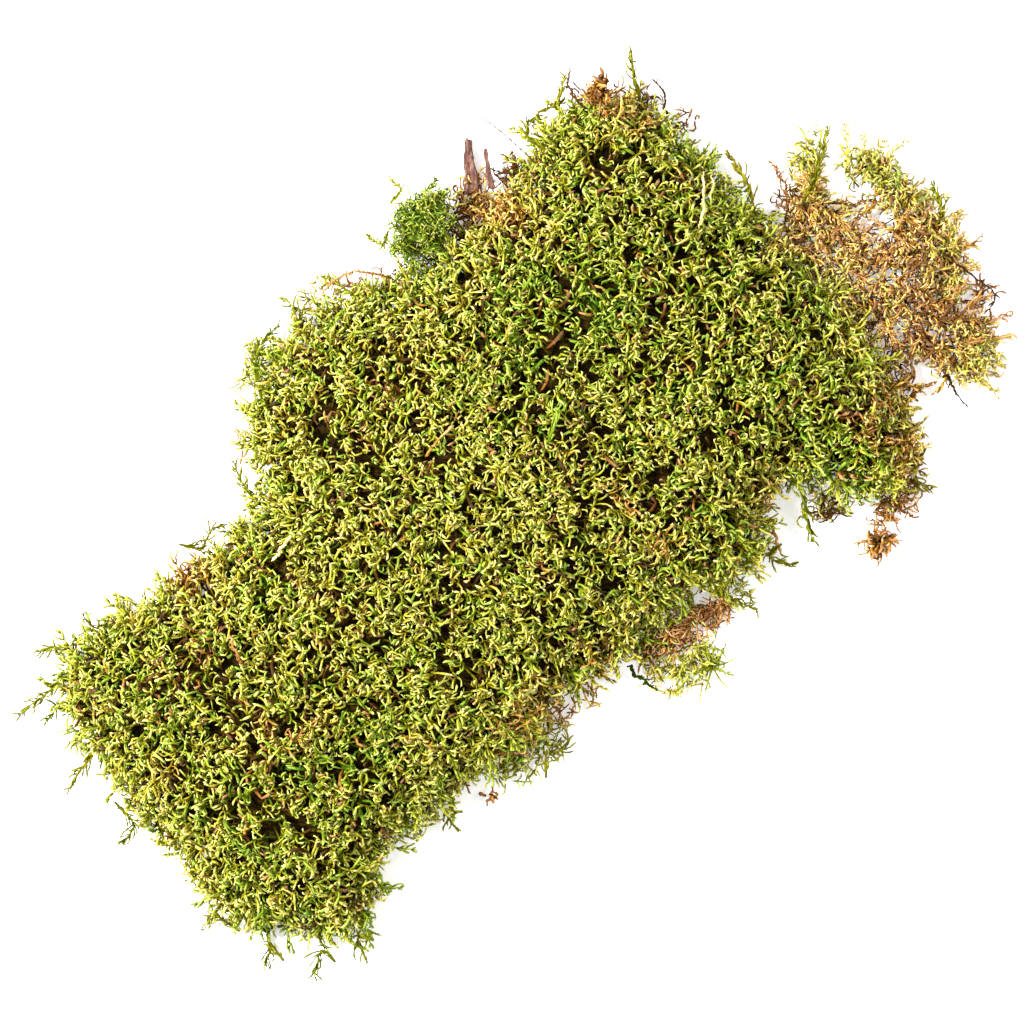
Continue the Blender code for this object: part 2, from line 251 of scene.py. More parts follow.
@dataclass(frozen=True)
class MossFinish:
    """The colours of every strand: its tone runs across the palette and its length up it.

    Hues are the colours of the tones; shades are painted shade, darkening a strand towards its base
    where it lies deep in the mat, and its tip pales towards the colours of tips, partly as the paler real
    tips and partly as a painted highlight. Leaves are the small bands along a strand, darker between the
    leaves as painted shade in the grooves; streaks are bands across the tones, so that neighbours differ.
    """

    name: str = "moss_shoots"
    leaves: float = 9.0
    leaf_skew: float = 40.0
    leaf_depth: float = 0.22
    roughness: float = 0.55
    roughness_play: float = 0.2
    gloss: float = 0.02
    bump_height: float = 0.25
    bump_size: float = 0.2
    # Near-black colour of painted shade in the grooves between leaves.
    crease_shade_colour: tuple = (0.018, 0.018, 0.001, 1.0)
    hues: tuple = (
        (0.00, (0.025, 0.009, 0.005)),
        (0.07, (0.110, 0.032, 0.011)),
        (0.14, (0.300, 0.090, 0.018)),
        (0.22, (0.620, 0.225, 0.030)),
        (0.31, (0.860, 0.450, 0.065)),
        (0.40, (0.840, 0.610, 0.070)),
        (0.50, (0.700, 0.570, 0.014)),
        (0.60, (0.700, 0.665, 0.014)),
        (0.70, (0.510, 0.570, 0.010)),
        (0.80, (0.285, 0.430, 0.009)),
        (0.90, (0.110, 0.230, 0.007)),
        (1.00, (0.030, 0.085, 0.006)),
    )
    # Painted shade along each strand: dark at its base, full colour from near its tip.
    shades: tuple = (
        (0.00, (0.07, 0.05, 0.006)),
        (0.30, (0.24, 0.23, 0.03)),
        (0.62, (0.79, 0.79, 0.38)),
        (0.90, (1.0, 1.0, 1.0)),
    )
    streaks: float = 34.0
    streak_depth: float = 0.42
    # Tip colours: partly the paler real tips, partly a painted highlight.
    tips: tuple = (
        (0.00, (0.55, 0.38, 0.26)),
        (0.30, (1.00, 0.84, 0.57)),
        (0.48, (1.00, 0.95, 0.63)),
        (0.62, (1.00, 1.00, 0.72)),
        (0.74, (0.88, 0.97, 0.42)),
        (0.86, (0.48, 0.70, 0.12)),
        (1.00, (0.12, 0.26, 0.03)),
    )
    paling: float = 0.28
    paling_streak: float = 0.36
    dark_end: float = 4.0

    def build(self) -> bpy.types.Material:
        """Make the material.

        Returns:
            The material, which reads the palette map only.
        """
        material, graph = new_material(self.name)
        place = graph.add("ShaderNodeUVMap", {"uv_map": PALETTE_MAP})
        split = graph.add("ShaderNodeSeparateXYZ", None, [place])
        tone = graph.value(split, "X")
        along = graph.value(split, "Y")
        hue = graph.add("ShaderNodeValToRGB", {"stops": self.hues}, [tone])
        # Painted shade: the shades ramp darkens each strand towards its base, and the hue is multiplied by
        # it.
        shade = graph.add("ShaderNodeValToRGB", {"stops": self.shades}, [along])
        shaded_hue = graph.add(
            "ShaderNodeMix", {"data_type": "RGBA", "blend_type": "MULTIPLY"},
            {"Factor": 1.0, "A": hue, "B": shade},
        )
        leaf = 0.5 + 0.5 * (along * (2 * math.pi * self.leaves) + tone * self.leaf_skew).sine()
        streak = 0.5 + 0.5 * (tone * (2 * math.pi * self.streaks)).sine()
        # Painted shade in the grooves between leaves, plus random darker streaks so that neighbours differ.
        darker = (1.0 - leaf) * self.leaf_depth + (1.0 - streak) * self.streak_depth
        crease_shaded_and_streaked = graph.add(
            "ShaderNodeMix", {"data_type": "RGBA"},
            {"Factor": darker.clamped(), "A": shaded_hue, "B": self.crease_shade_colour},
        )
        # Tips pale towards the tip colours, partly as paler real tips and partly as a painted highlight;
        # dark tones pale less.
        tip_pale_and_highlight = along ** 4 * (self.paling + self.paling_streak * streak)
        tip_hue = graph.add("ShaderNodeValToRGB", {"stops": self.tips}, [tone])
        lit = graph.add(
            "ShaderNodeMix", {"data_type": "RGBA"},
            {"Factor": tip_pale_and_highlight.clamped() * (tone * self.dark_end).clamped(), "A": crease_shaded_and_streaked,
             "B": tip_hue},
        )
        bump = graph.add(
            "ShaderNodeBump", None,
            {"Strength": self.bump_height, "Distance": self.bump_size * MM, "Height": leaf},
        )
        graph.feed_shader({
            "Base Color": lit, "Roughness": self.roughness + self.roughness_play * leaf,
            "Normal": bump, "Specular IOR Level": self.gloss,
        })
        return material


@dataclass(frozen=True)
class GroundFinish:
    """A finish that follows the piece in its own place: three mixed colours, grain and bump.

    The grain is coarse noise mixed with noise that is finer by a fixed ratio; the turn is in radians.
    """

    name: str
    dark: tuple
    middle: tuple
    light: tuple
    grain: float
    stretch: tuple = (1.0, 1.0, 1.0)
    turn: float = 0.0
    fine_ratio: float = 4.5
    coarse_share: float = 0.62
    places: tuple = (0.34, 0.50, 0.66)
    roughness: float = 0.8
    roughness_play: float = 0.2
    gloss: float = 0.3
    bump_height: float = 0.6
    bump_size: float = 0.4

    def build(self) -> bpy.types.Material:
        """Make the material.

        Returns:
            The material, which reads Object coordinates.
        """
        material, graph = new_material(self.name)
        place = graph.add("ShaderNodeTexCoord")
        mapped = graph.add(
            "ShaderNodeMapping", {"vector_type": "TEXTURE"},
            {"Vector": graph.out(place, "Object"), "Rotation": (0.0, 0.0, self.turn),
             "Scale": self.stretch},
        )
        coarse, fine = (
            graph.value(graph.add(
                "ShaderNodeTexNoise", None,
                {"Vector": mapped, "Scale": scale, "Detail": detail, "Roughness": roughness},
            ))
            for scale, detail, roughness in (
                (self.grain, 4.0, 0.6), (self.grain * self.fine_ratio, 3.0, 0.7))
        )
        blend = (self.coarse_share * coarse + (1.0 - self.coarse_share) * fine).clamped()
        stops = tuple(zip(self.places, (self.dark, self.middle, self.light)))
        hue = graph.add("ShaderNodeValToRGB", {"stops": stops}, [blend])
        bump = graph.add(
            "ShaderNodeBump", None,
            {"Strength": self.bump_height, "Distance": self.bump_size * MM, "Height": fine},
        )
        graph.feed_shader({
            "Base Color": hue,
            "Roughness": (self.roughness + self.roughness_play * (fine - 0.5)).clamped(),
            "Normal": bump, "Specular IOR Level": self.gloss,
        })
        return material


# The dead felt: the brown of dead lower stems, darkened nearly to black as painted shade in the deep gaps.
FELT_AND_GAP_SHADE = GroundFinish(
    "dead_felt", dark=(0.002, 0.001, 0.0005), middle=(0.012, 0.007, 0.001), light=(0.080, 0.045, 0.005),
    grain=1100.0, stretch=(1.0, 3.5, 1.0), turn=0.6, roughness=1.0, gloss=0.05)
# The tuft's heart: green, darker than its leaves as painted shade inside the tuft.
TUFT_HEART = GroundFinish(
    "tuft_heart", dark=(0.015, 0.022, 0.003), middle=(0.07, 0.10, 0.008), light=(0.20, 0.28, 0.02),
    grain=900.0, roughness=1.0, gloss=0.05)
SPLIT_BARK = GroundFinish(
    "bark", dark=(0.012, 0.004, 0.003), middle=(0.13, 0.055, 0.040), light=(0.36, 0.20, 0.145),
    grain=800.0, stretch=(1.0, 3.0, 1.0), turn=math.radians(-42), bump_height=1.0)


# Strands ------------------------------------------------------------------------------------------


def unit(vectors: np.ndarray) -> np.ndarray:
    """Vectors of length one."""
    return vectors / (np.linalg.norm(vectors, axis=-1, keepdims=True) + TINY)


def square_to(heading: np.ndarray, guess: np.ndarray) -> np.ndarray:
    """The part of a guess that is square to a heading, with length one."""
    return unit(guess - (guess * heading).sum(-1, keepdims=True) * heading)


def pointing(turn: np.ndarray, rise: np.ndarray) -> np.ndarray:
    """Directions with these turns about the upright and these rises above the level."""
    return np.stack([np.cos(turn) * np.cos(rise), np.sin(turn) * np.cos(rise), np.sin(rise)], 1)


def run_of(path: np.ndarray) -> np.ndarray:
    """How far along a path each of its points lies."""
    steps = np.linalg.norm(np.diff(path, axis=0), axis=1)
    return np.concatenate([[0.0], np.cumsum(steps)])


def points_at(path: np.ndarray, run: np.ndarray, places: np.ndarray) -> np.ndarray:
    """The points on a path at these distances along it, where run says how far its own points lie."""
    return np.stack([np.interp(places, run, path[:, k]) for k in range(3)], 1)


@dataclass
class StrandBatch:
    """Strands joined in one mesh, each vertex with its tone and its place along its strand.

    The rings swell and shrink in turn like overlapping leaves, and the sides differ a little in tone:
    painted light and shade across each strand, one side lighter and another darker.
    """

    sides: int = 3
    swell: float = 0.16
    side_shading: float = 0.012
    points: list = field(default_factory=list)
    faces: list = field(default_factory=list)
    along: list = field(default_factory=list)
    tint: list = field(default_factory=list)

    def add(self, path: np.ndarray, radius: np.ndarray, across: np.ndarray,
            tint: np.ndarray, shade: tuple[float, float] = (0.0, 1.0)) -> None:
        """Add strands of one length in rings.

        Args:
            path: centre points, strands by rings by 3; the last is the tip.
            radius: the radius at each ring, strands by rings.
            across: one vector for each strand that its path never follows.
            tint: each strand's tone.
            shade: the places on the palette of its base and its tip, along its painted shade.
        """
        strands, rings = path.shape[:2]
        along = unit(np.gradient(path, axis=1))
        first = square_to(along, across[:, None, :])
        second = np.cross(along, first)
        turn = 2 * math.pi * np.arange(self.sides) / self.sides
        angle = turn[None, :] + (math.pi / self.sides) * np.arange(rings - 1)[:, None]
        leafy = radius[:, :-1] * (1.0 + self.swell * np.where(np.arange(rings - 1) % 2, 1.0, -1.0))
        reach = leafy[:, :, None, None]
        wall = (path[:, :-1, None, :]
                + reach * np.cos(angle)[None, :, :, None] * first[:, :-1, None, :]
                + reach * np.sin(angle)[None, :, :, None] * second[:, :-1, None, :])
        block = np.concatenate([wall.reshape(strands, -1, 3), path[:, -1:, :]], axis=1)
        self.points.append(block.reshape(-1, 3))
        self.faces.append(self._faces(strands, rings - 1))
        share = np.linspace(shade[0], shade[1], rings)
        steps = np.concatenate([np.repeat(share[:-1], self.sides), share[-1:]])
        self.along.append(np.tile(steps, strands))
        # Painted light and shade across the strand: each side's tone is shifted, so one side is lighter
        # than another.
        spread = self.side_shading * np.concatenate([np.tile(np.cos(turn), rings - 1), [0.0]])
        self.tint.append((tint[:, None] + spread[None, :]).reshape(-1))

    def _faces(self, strands: int, rings: int) -> np.ndarray:
        """Triangles of strands with this many rings and a tip, facing outwards."""
        n = self.sides
        base = sum(len(block) for block in self.points[:-1])
        rows = []
        for ring in range(rings - 1):
            for i in range(n):
                j = (i + 1) % n
                a, b, c, d = ring * n + i, ring * n + j, (ring + 1) * n + i, (ring + 1) * n + j
                rows += [(a, b, c), (b, d, c)]
        tip = rings * n
        rows += [((rings - 1) * n + i, (rings - 1) * n + (i + 1) % n, tip) for i in range(n)]
        rows += [(0, i + 1, i) for i in range(1, n - 1)]
        size = rings * n + 1
        return (np.array(rows)[None] + base + size * np.arange(strands)[:, None, None]).reshape(-1, 3)

    def mesh(self, name: str) -> bpy.types.Mesh:
        """The strands as a mesh, with tint and along as attributes.

        Args:
            name: the mesh's name.

        Returns:
            The mesh.
        """
        points = np.concatenate(self.points).astype(np.float32)
        faces = np.concatenate(self.faces).astype(np.int32)
        mesh = bpy.data.meshes.new(name)
        mesh.vertices.add(len(points))
        mesh.vertices.foreach_set("co", points.ravel())
        mesh.loops.add(faces.size)
        mesh.loops.foreach_set("vertex_index", faces.ravel())
        mesh.polygons.add(len(faces))
        mesh.polygons.foreach_set("loop_start", np.arange(0, faces.size, 3, dtype=np.int32))
        mesh.update(calc_edges=True)
        for label, numbers in (("along", self.along), ("tint", self.tint)):
            layer = mesh.attributes.new(label, "FLOAT", "POINT")
            layer.data.foreach_set("value", np.concatenate(numbers).astype(np.float32))
        return mesh

    def piece(self, name: str, material: bpy.types.Material) -> bpy.types.Object:
        """The strands as a finished object, with their palette map.

        Args:
            name: the object's name.
            material: its finish.

        Returns:
            The object.
        """
        mesh = self.mesh(name)
        palette = np.stack([np.concatenate(self.tint), np.concatenate(self.along)], 1)
        corner = np.empty(len(mesh.loops), np.int32)
        mesh.loops.foreach_get("vertex_index", corner)
        layer = mesh.uv_layers.new(name=PALETTE_MAP)
        inside = np.clip(palette[corner], PALETTE_EDGE, 1 - PALETTE_EDGE)
        layer.data.foreach_set("uv", inside.astype(np.float32).ravel())
        mesh.materials.append(material)
        return new_object(name, mesh)


def curled(start: np.ndarray, heading: np.ndarray, across: np.ndarray, length: np.ndarray,
           bend: np.ndarray, rings: int, sway: float | np.ndarray = 0.0, drift: float = 0.0,
           power: float = 1.1) -> np.ndarray:
    """Paths that leave along a heading and curl towards their tips.

    Args:
        start, heading, across: each strand's first point, first direction and the axis it curls about.
        length, bend: its length and its whole turn in radians.
        rings: points along it.
        sway: how far it swings to and fro on the way, in radians.
        drift: how far it climbs along its axis as it curls, as a share of its length.
        power: how late the curl comes.

    Returns:
        The paths, strands by rings by 3.
    """
    share = ((np.arange(rings - 1) + 0.5) / (rings - 1))[None, :]
    wander = np.reshape(sway, (-1, 1)) * np.sin(2 * math.pi * share)
    angle = bend[:, None] * share ** power + wander
    side = np.cross(across, heading)
    steps = (np.cos(angle)[:, :, None] * heading[:, None, :]
             + np.sin(angle)[:, :, None] * side[:, None, :] + drift * across[:, None, :])
    steps *= (length / (rings - 1))[:, None, None]
    steps[:, -1] *= BLUNT
    path = np.concatenate([np.zeros((len(start), 1, 3)), np.cumsum(steps, axis=1)], axis=1)
    return path + start[:, None, :]


@dataclass(frozen=True)
class Frond:
    """A stem with side branchlets on both sides, grown along a path.

    Lengths, radii and spacing are in millimetres, and spread, curl, lift and wild in radians. Bare is
    the share of the stem without branchlets at its base, and shade is where its strands begin and end
    on the palette's painted shade, dark at the base and full colour at the tip.
    """

    branch_length: float = 5.0
    branch_radius: float = 0.46
    spacing: float = 1.5
    spread: float = 0.95
    curl: float = 0.9
    lift: float = 0.25
    rings: int = 7
    stem_radius: float = 0.42
    bare: float = 0.12
    wild: float = 0.3
    shade: tuple = (0.25, 1.0)
    leafy: float = 0.92

    def grow(self, batch: StrandBatch, path: np.ndarray, tone: float, rng: np.random.Generator,
             tip_tone: float | None = None) -> None:
        """Grow the frond.

        Args:
            batch: the strands that it joins.
            path: the stem's points in metres, from base to tip.
            tone: its place on the palette at its base.
            rng: the random numbers.
            tip_tone: its tone at the tip, if that differs.
        """
        run = run_of(path)
        total = run[-1]
        count = max(3, int(total * (1 - self.bare) / (self.spacing * MM)) * 2)
        share = self.bare + (1 - self.bare) * (np.arange(count) + rng.uniform(0, 1.6, count)) / count
        share = np.clip(share * self.leafy, 0, 0.985)
        at = points_at(path, run, share * total)
        heading = unit(points_at(path, run, np.clip(share + 0.03, 0, 1) * total) - at)
        up_here = square_to(heading, UP)
        side = np.cross(up_here, heading) * np.where(np.arange(count) % 2, 1.0, -1.0)[:, None]
        leave = self.spread * rng.uniform(0.75, 1.2, count)
        raise_by = self.lift + rng.normal(0, self.wild, count)
        way = unit(np.cos(leave)[:, None] * heading + np.sin(leave)[:, None]
                   * (np.cos(raise_by)[:, None] * side + np.sin(raise_by)[:, None] * up_here))
        axis = square_to(way, np.cross(way, heading) + rng.normal(0, self.wild, (count, 3)))
        taper = np.sin(np.pi * (0.16 + 0.78 * share)) ** 0.7
        length = self.branch_length * MM * taper * rng.uniform(0.45, 1.15, count)
        bend = self.curl * rng.normal(1.0, 0.7, count)
        branches = curled(at, way, axis, length, bend, self.rings, rng.normal(0, 0.2, count), 0.1)
        girth = self.branch_radius * MM * rng.uniform(0.8, 1.15, count)
        radii = girth[:, None] * self.profile(self.rings)
        tip = tone if tip_tone is None else tip_tone
        tones = tone + (tip - tone) * share + rng.normal(0, 0.018, count)
        batch.add(branches, radii, axis, tones, self.shade)
        stem_rings = max(5, int(total / (2.2 * MM)))
        along = np.linspace(0, total, stem_rings)
        radius = self.stem_radius * MM * (1.0 - 0.55 * (along / total) ** 2)
        batch.add(points_at(path, run, along)[None], radius[None], UP[None],
                  np.array([0.5 * (tone + tip)]), self.shade)

    @staticmethod
    def profile(rings: int) -> np.ndarray:
        """Radius along a branchlet, as shares of its widest: full from early on, then to a point."""
        share = np.linspace(0, 1, rings)
        return (0.6 + 0.4 * np.sin(np.pi * np.minimum(share * 1.8, 1.0) * 0.5)) * (1 - share ** 3 * 0.42)


@dataclass
class Curler:
    """A short shoot that climbs and arches over, with branchlets that curl into hooks and rings."""

    height: float = 8.5
    reach: float = 4.5
    branches: int = 6
    branch_length: float = 5.4
    branch_radius: float = 0.41
    bend: float = 3.1
    rings: int = 5
    stem_radius: float = 0.4
    low_share: float = 0.46

    def grow(self, batch: StrandBatch, rng: np.random.Generator) -> None:
        """Grow the shoot at the origin; it climbs along +Z and arches over towards +X.

        Args:
            batch: the strands that it joins.
            rng: the random numbers.
        """
        n = self.branches
        share = 0.30 + 0.70 * (np.arange(n) + rng.uniform(0, 0.8, n)) / n
        at = self._stem(np.clip(share, 0, 1))
        turn = np.arange(n) * 2.4 + rng.uniform(-0.6, 0.6, n) + rng.uniform(0, 6.3)
        rise = rng.uniform(-0.25, 0.75, n) + 0.25 * share
        way = pointing(turn, rise)
        axis = square_to(way, UP + rng.normal(0, 0.6, (n, 3)))
        low = share < self.low_share
        length = self.branch_length * MM * rng.uniform(0.62, 1.25, n) * np.where(low, 1.45, 1.0)
        bend = rng.choice((-1.0, 1.0), n) * self.bend * rng.uniform(0.45, 1.4, n)
        paths = curled(at, way, axis, length, bend, self.rings, rng.normal(0, 0.35, n), 0.22)
        girth = self.branch_radius * MM * rng.uniform(0.62, 1.16, n) * np.where(low, 1.3, 1.0)
        radii = girth[:, None] * Frond.profile(self.rings)
        tint = rng.normal(0, 0.045, n)
        odd = rng.uniform(0, 1, n)
        tint = np.where(odd < 0.05, -0.20, np.where(odd < 0.07, -0.34, np.where(odd > 0.88, 0.16, tint)))
        dead = np.where(odd < 0.10, -0.44, -0.56)
        # Low branches are dead brown, or else a deep dark green: partly older shoots, partly painted shade
        # deep in the mat.
        tint = np.where(low, np.where(odd < 0.42, dead, 0.20), tint)
        batch.add(paths, radii, axis, tint, (0.3, 1.0))
        stem_share = np.linspace(0, 1, 3)
        radius = self.stem_radius * MM * (1 - 0.4 * stem_share)
        batch.add(self._stem(stem_share)[None], radius[None], np.array([[0.0, 1.0, 0.0]]),
                  np.array([-0.08]), (0.2, 0.6))

    def _stem(self, share: np.ndarray) -> np.ndarray:
        """Points on the stem at these shares of its length."""
        across = np.zeros_like(share)
        return np.stack([self.reach * share ** 2, across, self.height * (1 - (1 - share) ** 1.6)], 1) * MM


# Scattering ---------------------------------------------------------------------------------------


class Stance(Enum):
    """How a scattered sprig stands on the surface."""

    UPRIGHT = "upright"
    LYING = "lying"


@dataclass
class Scatter:
    """Geometry Nodes that scatter ready-made sprigs over a patch and make their palette map.

    Base and top are where the sprigs' strands begin and end on the palette's painted shade, and darkest
    is the lowest tone that any of them takes.
    """

    stance: Stance
    material: bpy.types.Material
    base: float = 0.0
    darkest: float = 0.05
    top: float = 1.0
    densest: float = 4.0e6
    tone_play: float = 0.09
    smallest: float = 0.8
    largest: float = 1.22

    def tree(self) -> bpy.types.NodeTree:
        """Build the node tree.

        Returns:
            The tree, whose inputs are the patch, the sprigs and the settings that over gives it.
        """
        tree = bpy.data.node_groups.new(f"scatter_{self.stance.value}", "GeometryNodeTree")
        graph = Graph(tree)
        face = tree.interface
        face.new_socket(name="Patch", in_out="INPUT", socket_type="NodeSocketGeometry")
        for name, kind in (("Sprigs", "Collection"), ("Kinds", "Int"), ("Distance", "Float"),
                           ("Sink", "Float"), ("Sway", "Float"), ("Size", "Float"), ("Base", "Float"),
                           ("Top", "Float"), ("Darkest", "Float"), ("Seed", "Int")):
            face.new_socket(name=name, in_out="INPUT", socket_type=f"NodeSocket{kind}")
        face.new_socket(name="Moss", in_out="OUTPUT", socket_type="NodeSocketGeometry")
        given = graph.add("NodeGroupInput")
        seed = given.outputs["Seed"]
        spots = graph.add(
            "GeometryNodeDistributePointsOnFaces", {"distribute_method": "POISSON"},
            {"Mesh": given.outputs["Patch"], "Distance Min": given.outputs["Distance"],
             "Density Max": self.densest, "Density Factor": self._named(graph, "cover"), "Seed": seed},
        )
        normal = graph.out(spots, "Normal")
        depth = graph.value(given, "Sink") + graph.value(self._named(graph, "inset"))
        sunk = graph.add(
            "GeometryNodeSetPosition", None,
            {"Geometry": graph.out(spots, "Points"),
             "Offset": self._scaled(graph, normal, -1.0 * depth)},
        )
        own = graph.value(self._named(graph, "tone")) + self._random(
            graph, "FLOAT", -self.tone_play, self.tone_play, seed, 7)
        toned = graph.add(
            "GeometryNodeStoreNamedAttribute", {"data_type": "FLOAT", "domain": "POINT"},
            {"Geometry": sunk, "Name": "tone", "Value": own},
        )
        turned = self._rotation(graph, given, normal)
        size = self._random(graph, "FLOAT", self.smallest, self.largest, seed, 5)
        sprigs = graph.add(
            "GeometryNodeCollectionInfo", None,
            {"Collection": given.outputs["Sprigs"], "Separate Children": True, "Reset Children": True},
        )
        last = graph.value(given, "Kinds") - 1
        placed = graph.add(
            "GeometryNodeInstanceOnPoints", None,
            {"Points": toned, "Instance": sprigs, "Pick Instance": True,
             "Instance Index": self._random(graph, "INT", 0, last, seed, 3),
             "Rotation": turned,
             "Scale": self._scaled(graph, (1.0, 1.0, 1.0), graph.value(given, "Size") * size)},
        )
        joined = graph.add("GeometryNodeRealizeInstances", None, {"Geometry": placed})
        tone = graph.value(self._named(graph, "tone")) + graph.value(self._named(graph, "tint"))
        inside = graph.value(graph.add(
            "ShaderNodeClamp", None, [tone, given.outputs["Darkest"], 1.0 - PALETTE_EDGE]))
        base = graph.value(given, "Base")
        along = base + graph.value(self._named(graph, "along")) * (graph.value(given, "Top") - base)
        place = graph.add("ShaderNodeCombineXYZ", None, [inside, along])
        mapped = graph.add(
            "GeometryNodeStoreNamedAttribute", {"data_type": "FLOAT2", "domain": "CORNER"},
            {"Geometry": joined, "Name": PALETTE_MAP, "Value": place},
        )
        dressed = graph.add(
            "GeometryNodeSetMaterial", None, {"Geometry": mapped, "Material": self.material})
        graph.add("NodeGroupOutput", None, [dressed])
        return tree

    def _rotation(self, graph: Graph, given: bpy.types.Node, normal: bpy.types.NodeSocket) -> object:
        """Turn an upright sprig's stem, or a lying sprig's length, to where it grows.

        Args:
            graph: the tree's graph.
            given: the group's inputs.
            normal: the surface's normal at each spot.

        Returns:
            A rotation.
        """
        seed = given.outputs["Seed"]
        comb = self._named(graph, "comb", "FLOAT_VECTOR")
        sway = self._random(graph, "FLOAT_VECTOR", (-1.0, -1.0, -0.35), (1.0, 1.0, 0.35), seed, 1)
        swayed = self._scaled(graph, sway, graph.value(given, "Sway"))
        lean = self._sum(graph, comb, swayed)
        if self.stance is Stance.LYING:
            return graph.add(
                "FunctionNodeAxesToRotation", {"primary_axis": "X", "secondary_axis": "Z"},
                [lean, normal],
            )
        stood = graph.add(
            "FunctionNodeAlignRotationToVector", {"axis": "Z"},
            {"Vector": self._sum(graph, normal, lean)},
        )
        spin = graph.add(
            "ShaderNodeCombineXYZ", None, {"Z": self._random(graph, "FLOAT", 0.0, FULL_TURN, seed, 2)})
        return graph.add(
            "FunctionNodeRotateRotation", {"rotation_space": "LOCAL"},
            [stood, graph.add("FunctionNodeEulerToRotation", None, [spin])],
        )

    @staticmethod
    def _named(graph: Graph, name: str, kind: str = "FLOAT") -> bpy.types.Node:
        """A named attribute."""
        return graph.add("GeometryNodeInputNamedAttribute", {"data_type": kind}, {"Name": name})

    @staticmethod
    def _random(graph: Graph, kind: str, low: object, high: object, seed: bpy.types.NodeSocket,
                salt: int) -> object:
        """A random number or vector for each spot, whose seed differs by its salt."""
        salted = Value(graph, seed) * 17.0 + float(salt)
        node = graph.add("FunctionNodeRandomValue", {"data_type": kind},
                         {"Min": low, "Max": high, "Seed": salted})
        return graph.value(node)

    @staticmethod
    def _scaled(graph: Graph, vector: object, factor: object) -> bpy.types.Node:
        """A vector times a number."""
        return graph.add("ShaderNodeVectorMath", {"operation": "SCALE"},
                         {"Vector": vector, "Scale": factor})

    @staticmethod
    def _sum(graph: Graph, first: object, second: object) -> bpy.types.Node:
        """The sum of two vectors."""
        return graph.add("ShaderNodeVectorMath", {"operation": "ADD"}, [first, second])

    def over(self, patch: bpy.types.Object, name: str, sprigs: bpy.types.Collection,
             distance: float, sink: float, sway: float, seed: int, size: float = 1.0) -> bpy.types.Object:
        """Scatter sprigs over a patch.

        Args:
            patch: a surface with the attributes cover, tone and comb; it is removed.
            name: the new piece's name.
            sprigs: the ready-made sprigs.
            distance, sink: the least distance between them and their depth, in millimetres.
            sway: how far they lean at random.
            seed: the random seed.
            size: their size.

        Returns:
            The piece, as a plain mesh.
        """
        tree = self.tree()
        modifier = patch.modifiers.new("scatter", "NODES")
        modifier.node_group = tree
        settings = {"Sprigs": sprigs, "Kinds": len(sprigs.objects), "Distance": distance * MM,
                    "Sink": sink * MM, "Sway": sway, "Size": size, "Base": self.base,
                    "Top": self.top, "Darkest": self.darkest, "Seed": seed}
        for item in tree.interface.items_tree:
            if item.in_out == "INPUT" and item.name in settings:
                modifier[item.identifier] = settings[item.name]
        depsgraph = bpy.context.evaluated_depsgraph_get()
        mesh = bpy.data.meshes.new_from_object(patch.evaluated_get(depsgraph))
        mesh.name = name
        for spare in ("along", "tint", "tone", "cover", "comb", "inset"):
            if spare in mesh.attributes:
                mesh.attributes.remove(mesh.attributes[spare])
        rest_on_ground(mesh)
        bpy.data.objects.remove(patch)
        return new_object(name, mesh)


def rest_on_ground(mesh: bpy.types.Mesh, floor: float = 0.15, soft: float = 2.5) -> None:
    """Press whatever would reach below the ground flat on it.

    Args:
        mesh: the mesh to change.
        floor: the lowest height left, in millimetres.
        soft: the height below which it starts to give, in millimetres.
    """
    places = np.empty(len(mesh.vertices) * 3, np.float32)
    mesh.vertices.foreach_get("co", places)
    height = places[2::3] / MM
    give = floor + (soft - floor) * np.exp(np.minimum(height - soft, 0.0) / (soft - floor))
    places[2::3] = np.where(height < soft, give, height) * MM
    mesh.vertices.foreach_set("co", places)
    mesh.update()


# Surfaces -----------------------------------------------------------------------------------------


def merged_copy(node: str) -> bmesh.types.BMesh:
    """A closed copy of a CAD node's mesh."""
    shape = bmesh.new()
    shape.from_mesh(frame["nodes"][node].data)
    bmesh.ops.remove_doubles(shape, verts=shape.verts[:], dist=0.002 * MM)
    shape.normal_update()
    return shape


@functools.cache
def surface_tree(node: str, sides_only: bool = False) -> BVHTree:
    """A search tree of a CAD node's surface, or of its steep sides only."""
    shape = merged_copy(node)
    if sides_only:
        level = [face for face in shape.faces if abs(face.normal.z) > 0.85]
        bmesh.ops.delete(shape, geom=level, context="FACES")
    tree = BVHTree.FromBMesh(shape)
    shape.free()
    return tree


def mounds(point: Vector, spacing: float, salt: float) -> float:
    """Smooth mounds and hollows, from -1 to 1, this many millimetres apart."""
    return noise.noise(point / (spacing * MM) + Vector((salt, 0, 0)))


@dataclass(frozen=True)
class Spot:
    """A place on the clump, in millimetres from its middle, with its size and its tone."""

    x: float
    y: float
    radius: float
    tone: float

    def weight(self, point: Vector) -> float:
        """How much of this spot a point takes, from 0 to 1."""
        away = math.hypot(point.x / MM - self.x, point.y / MM - self.y) / self.radius
        return math.exp(-away * away)


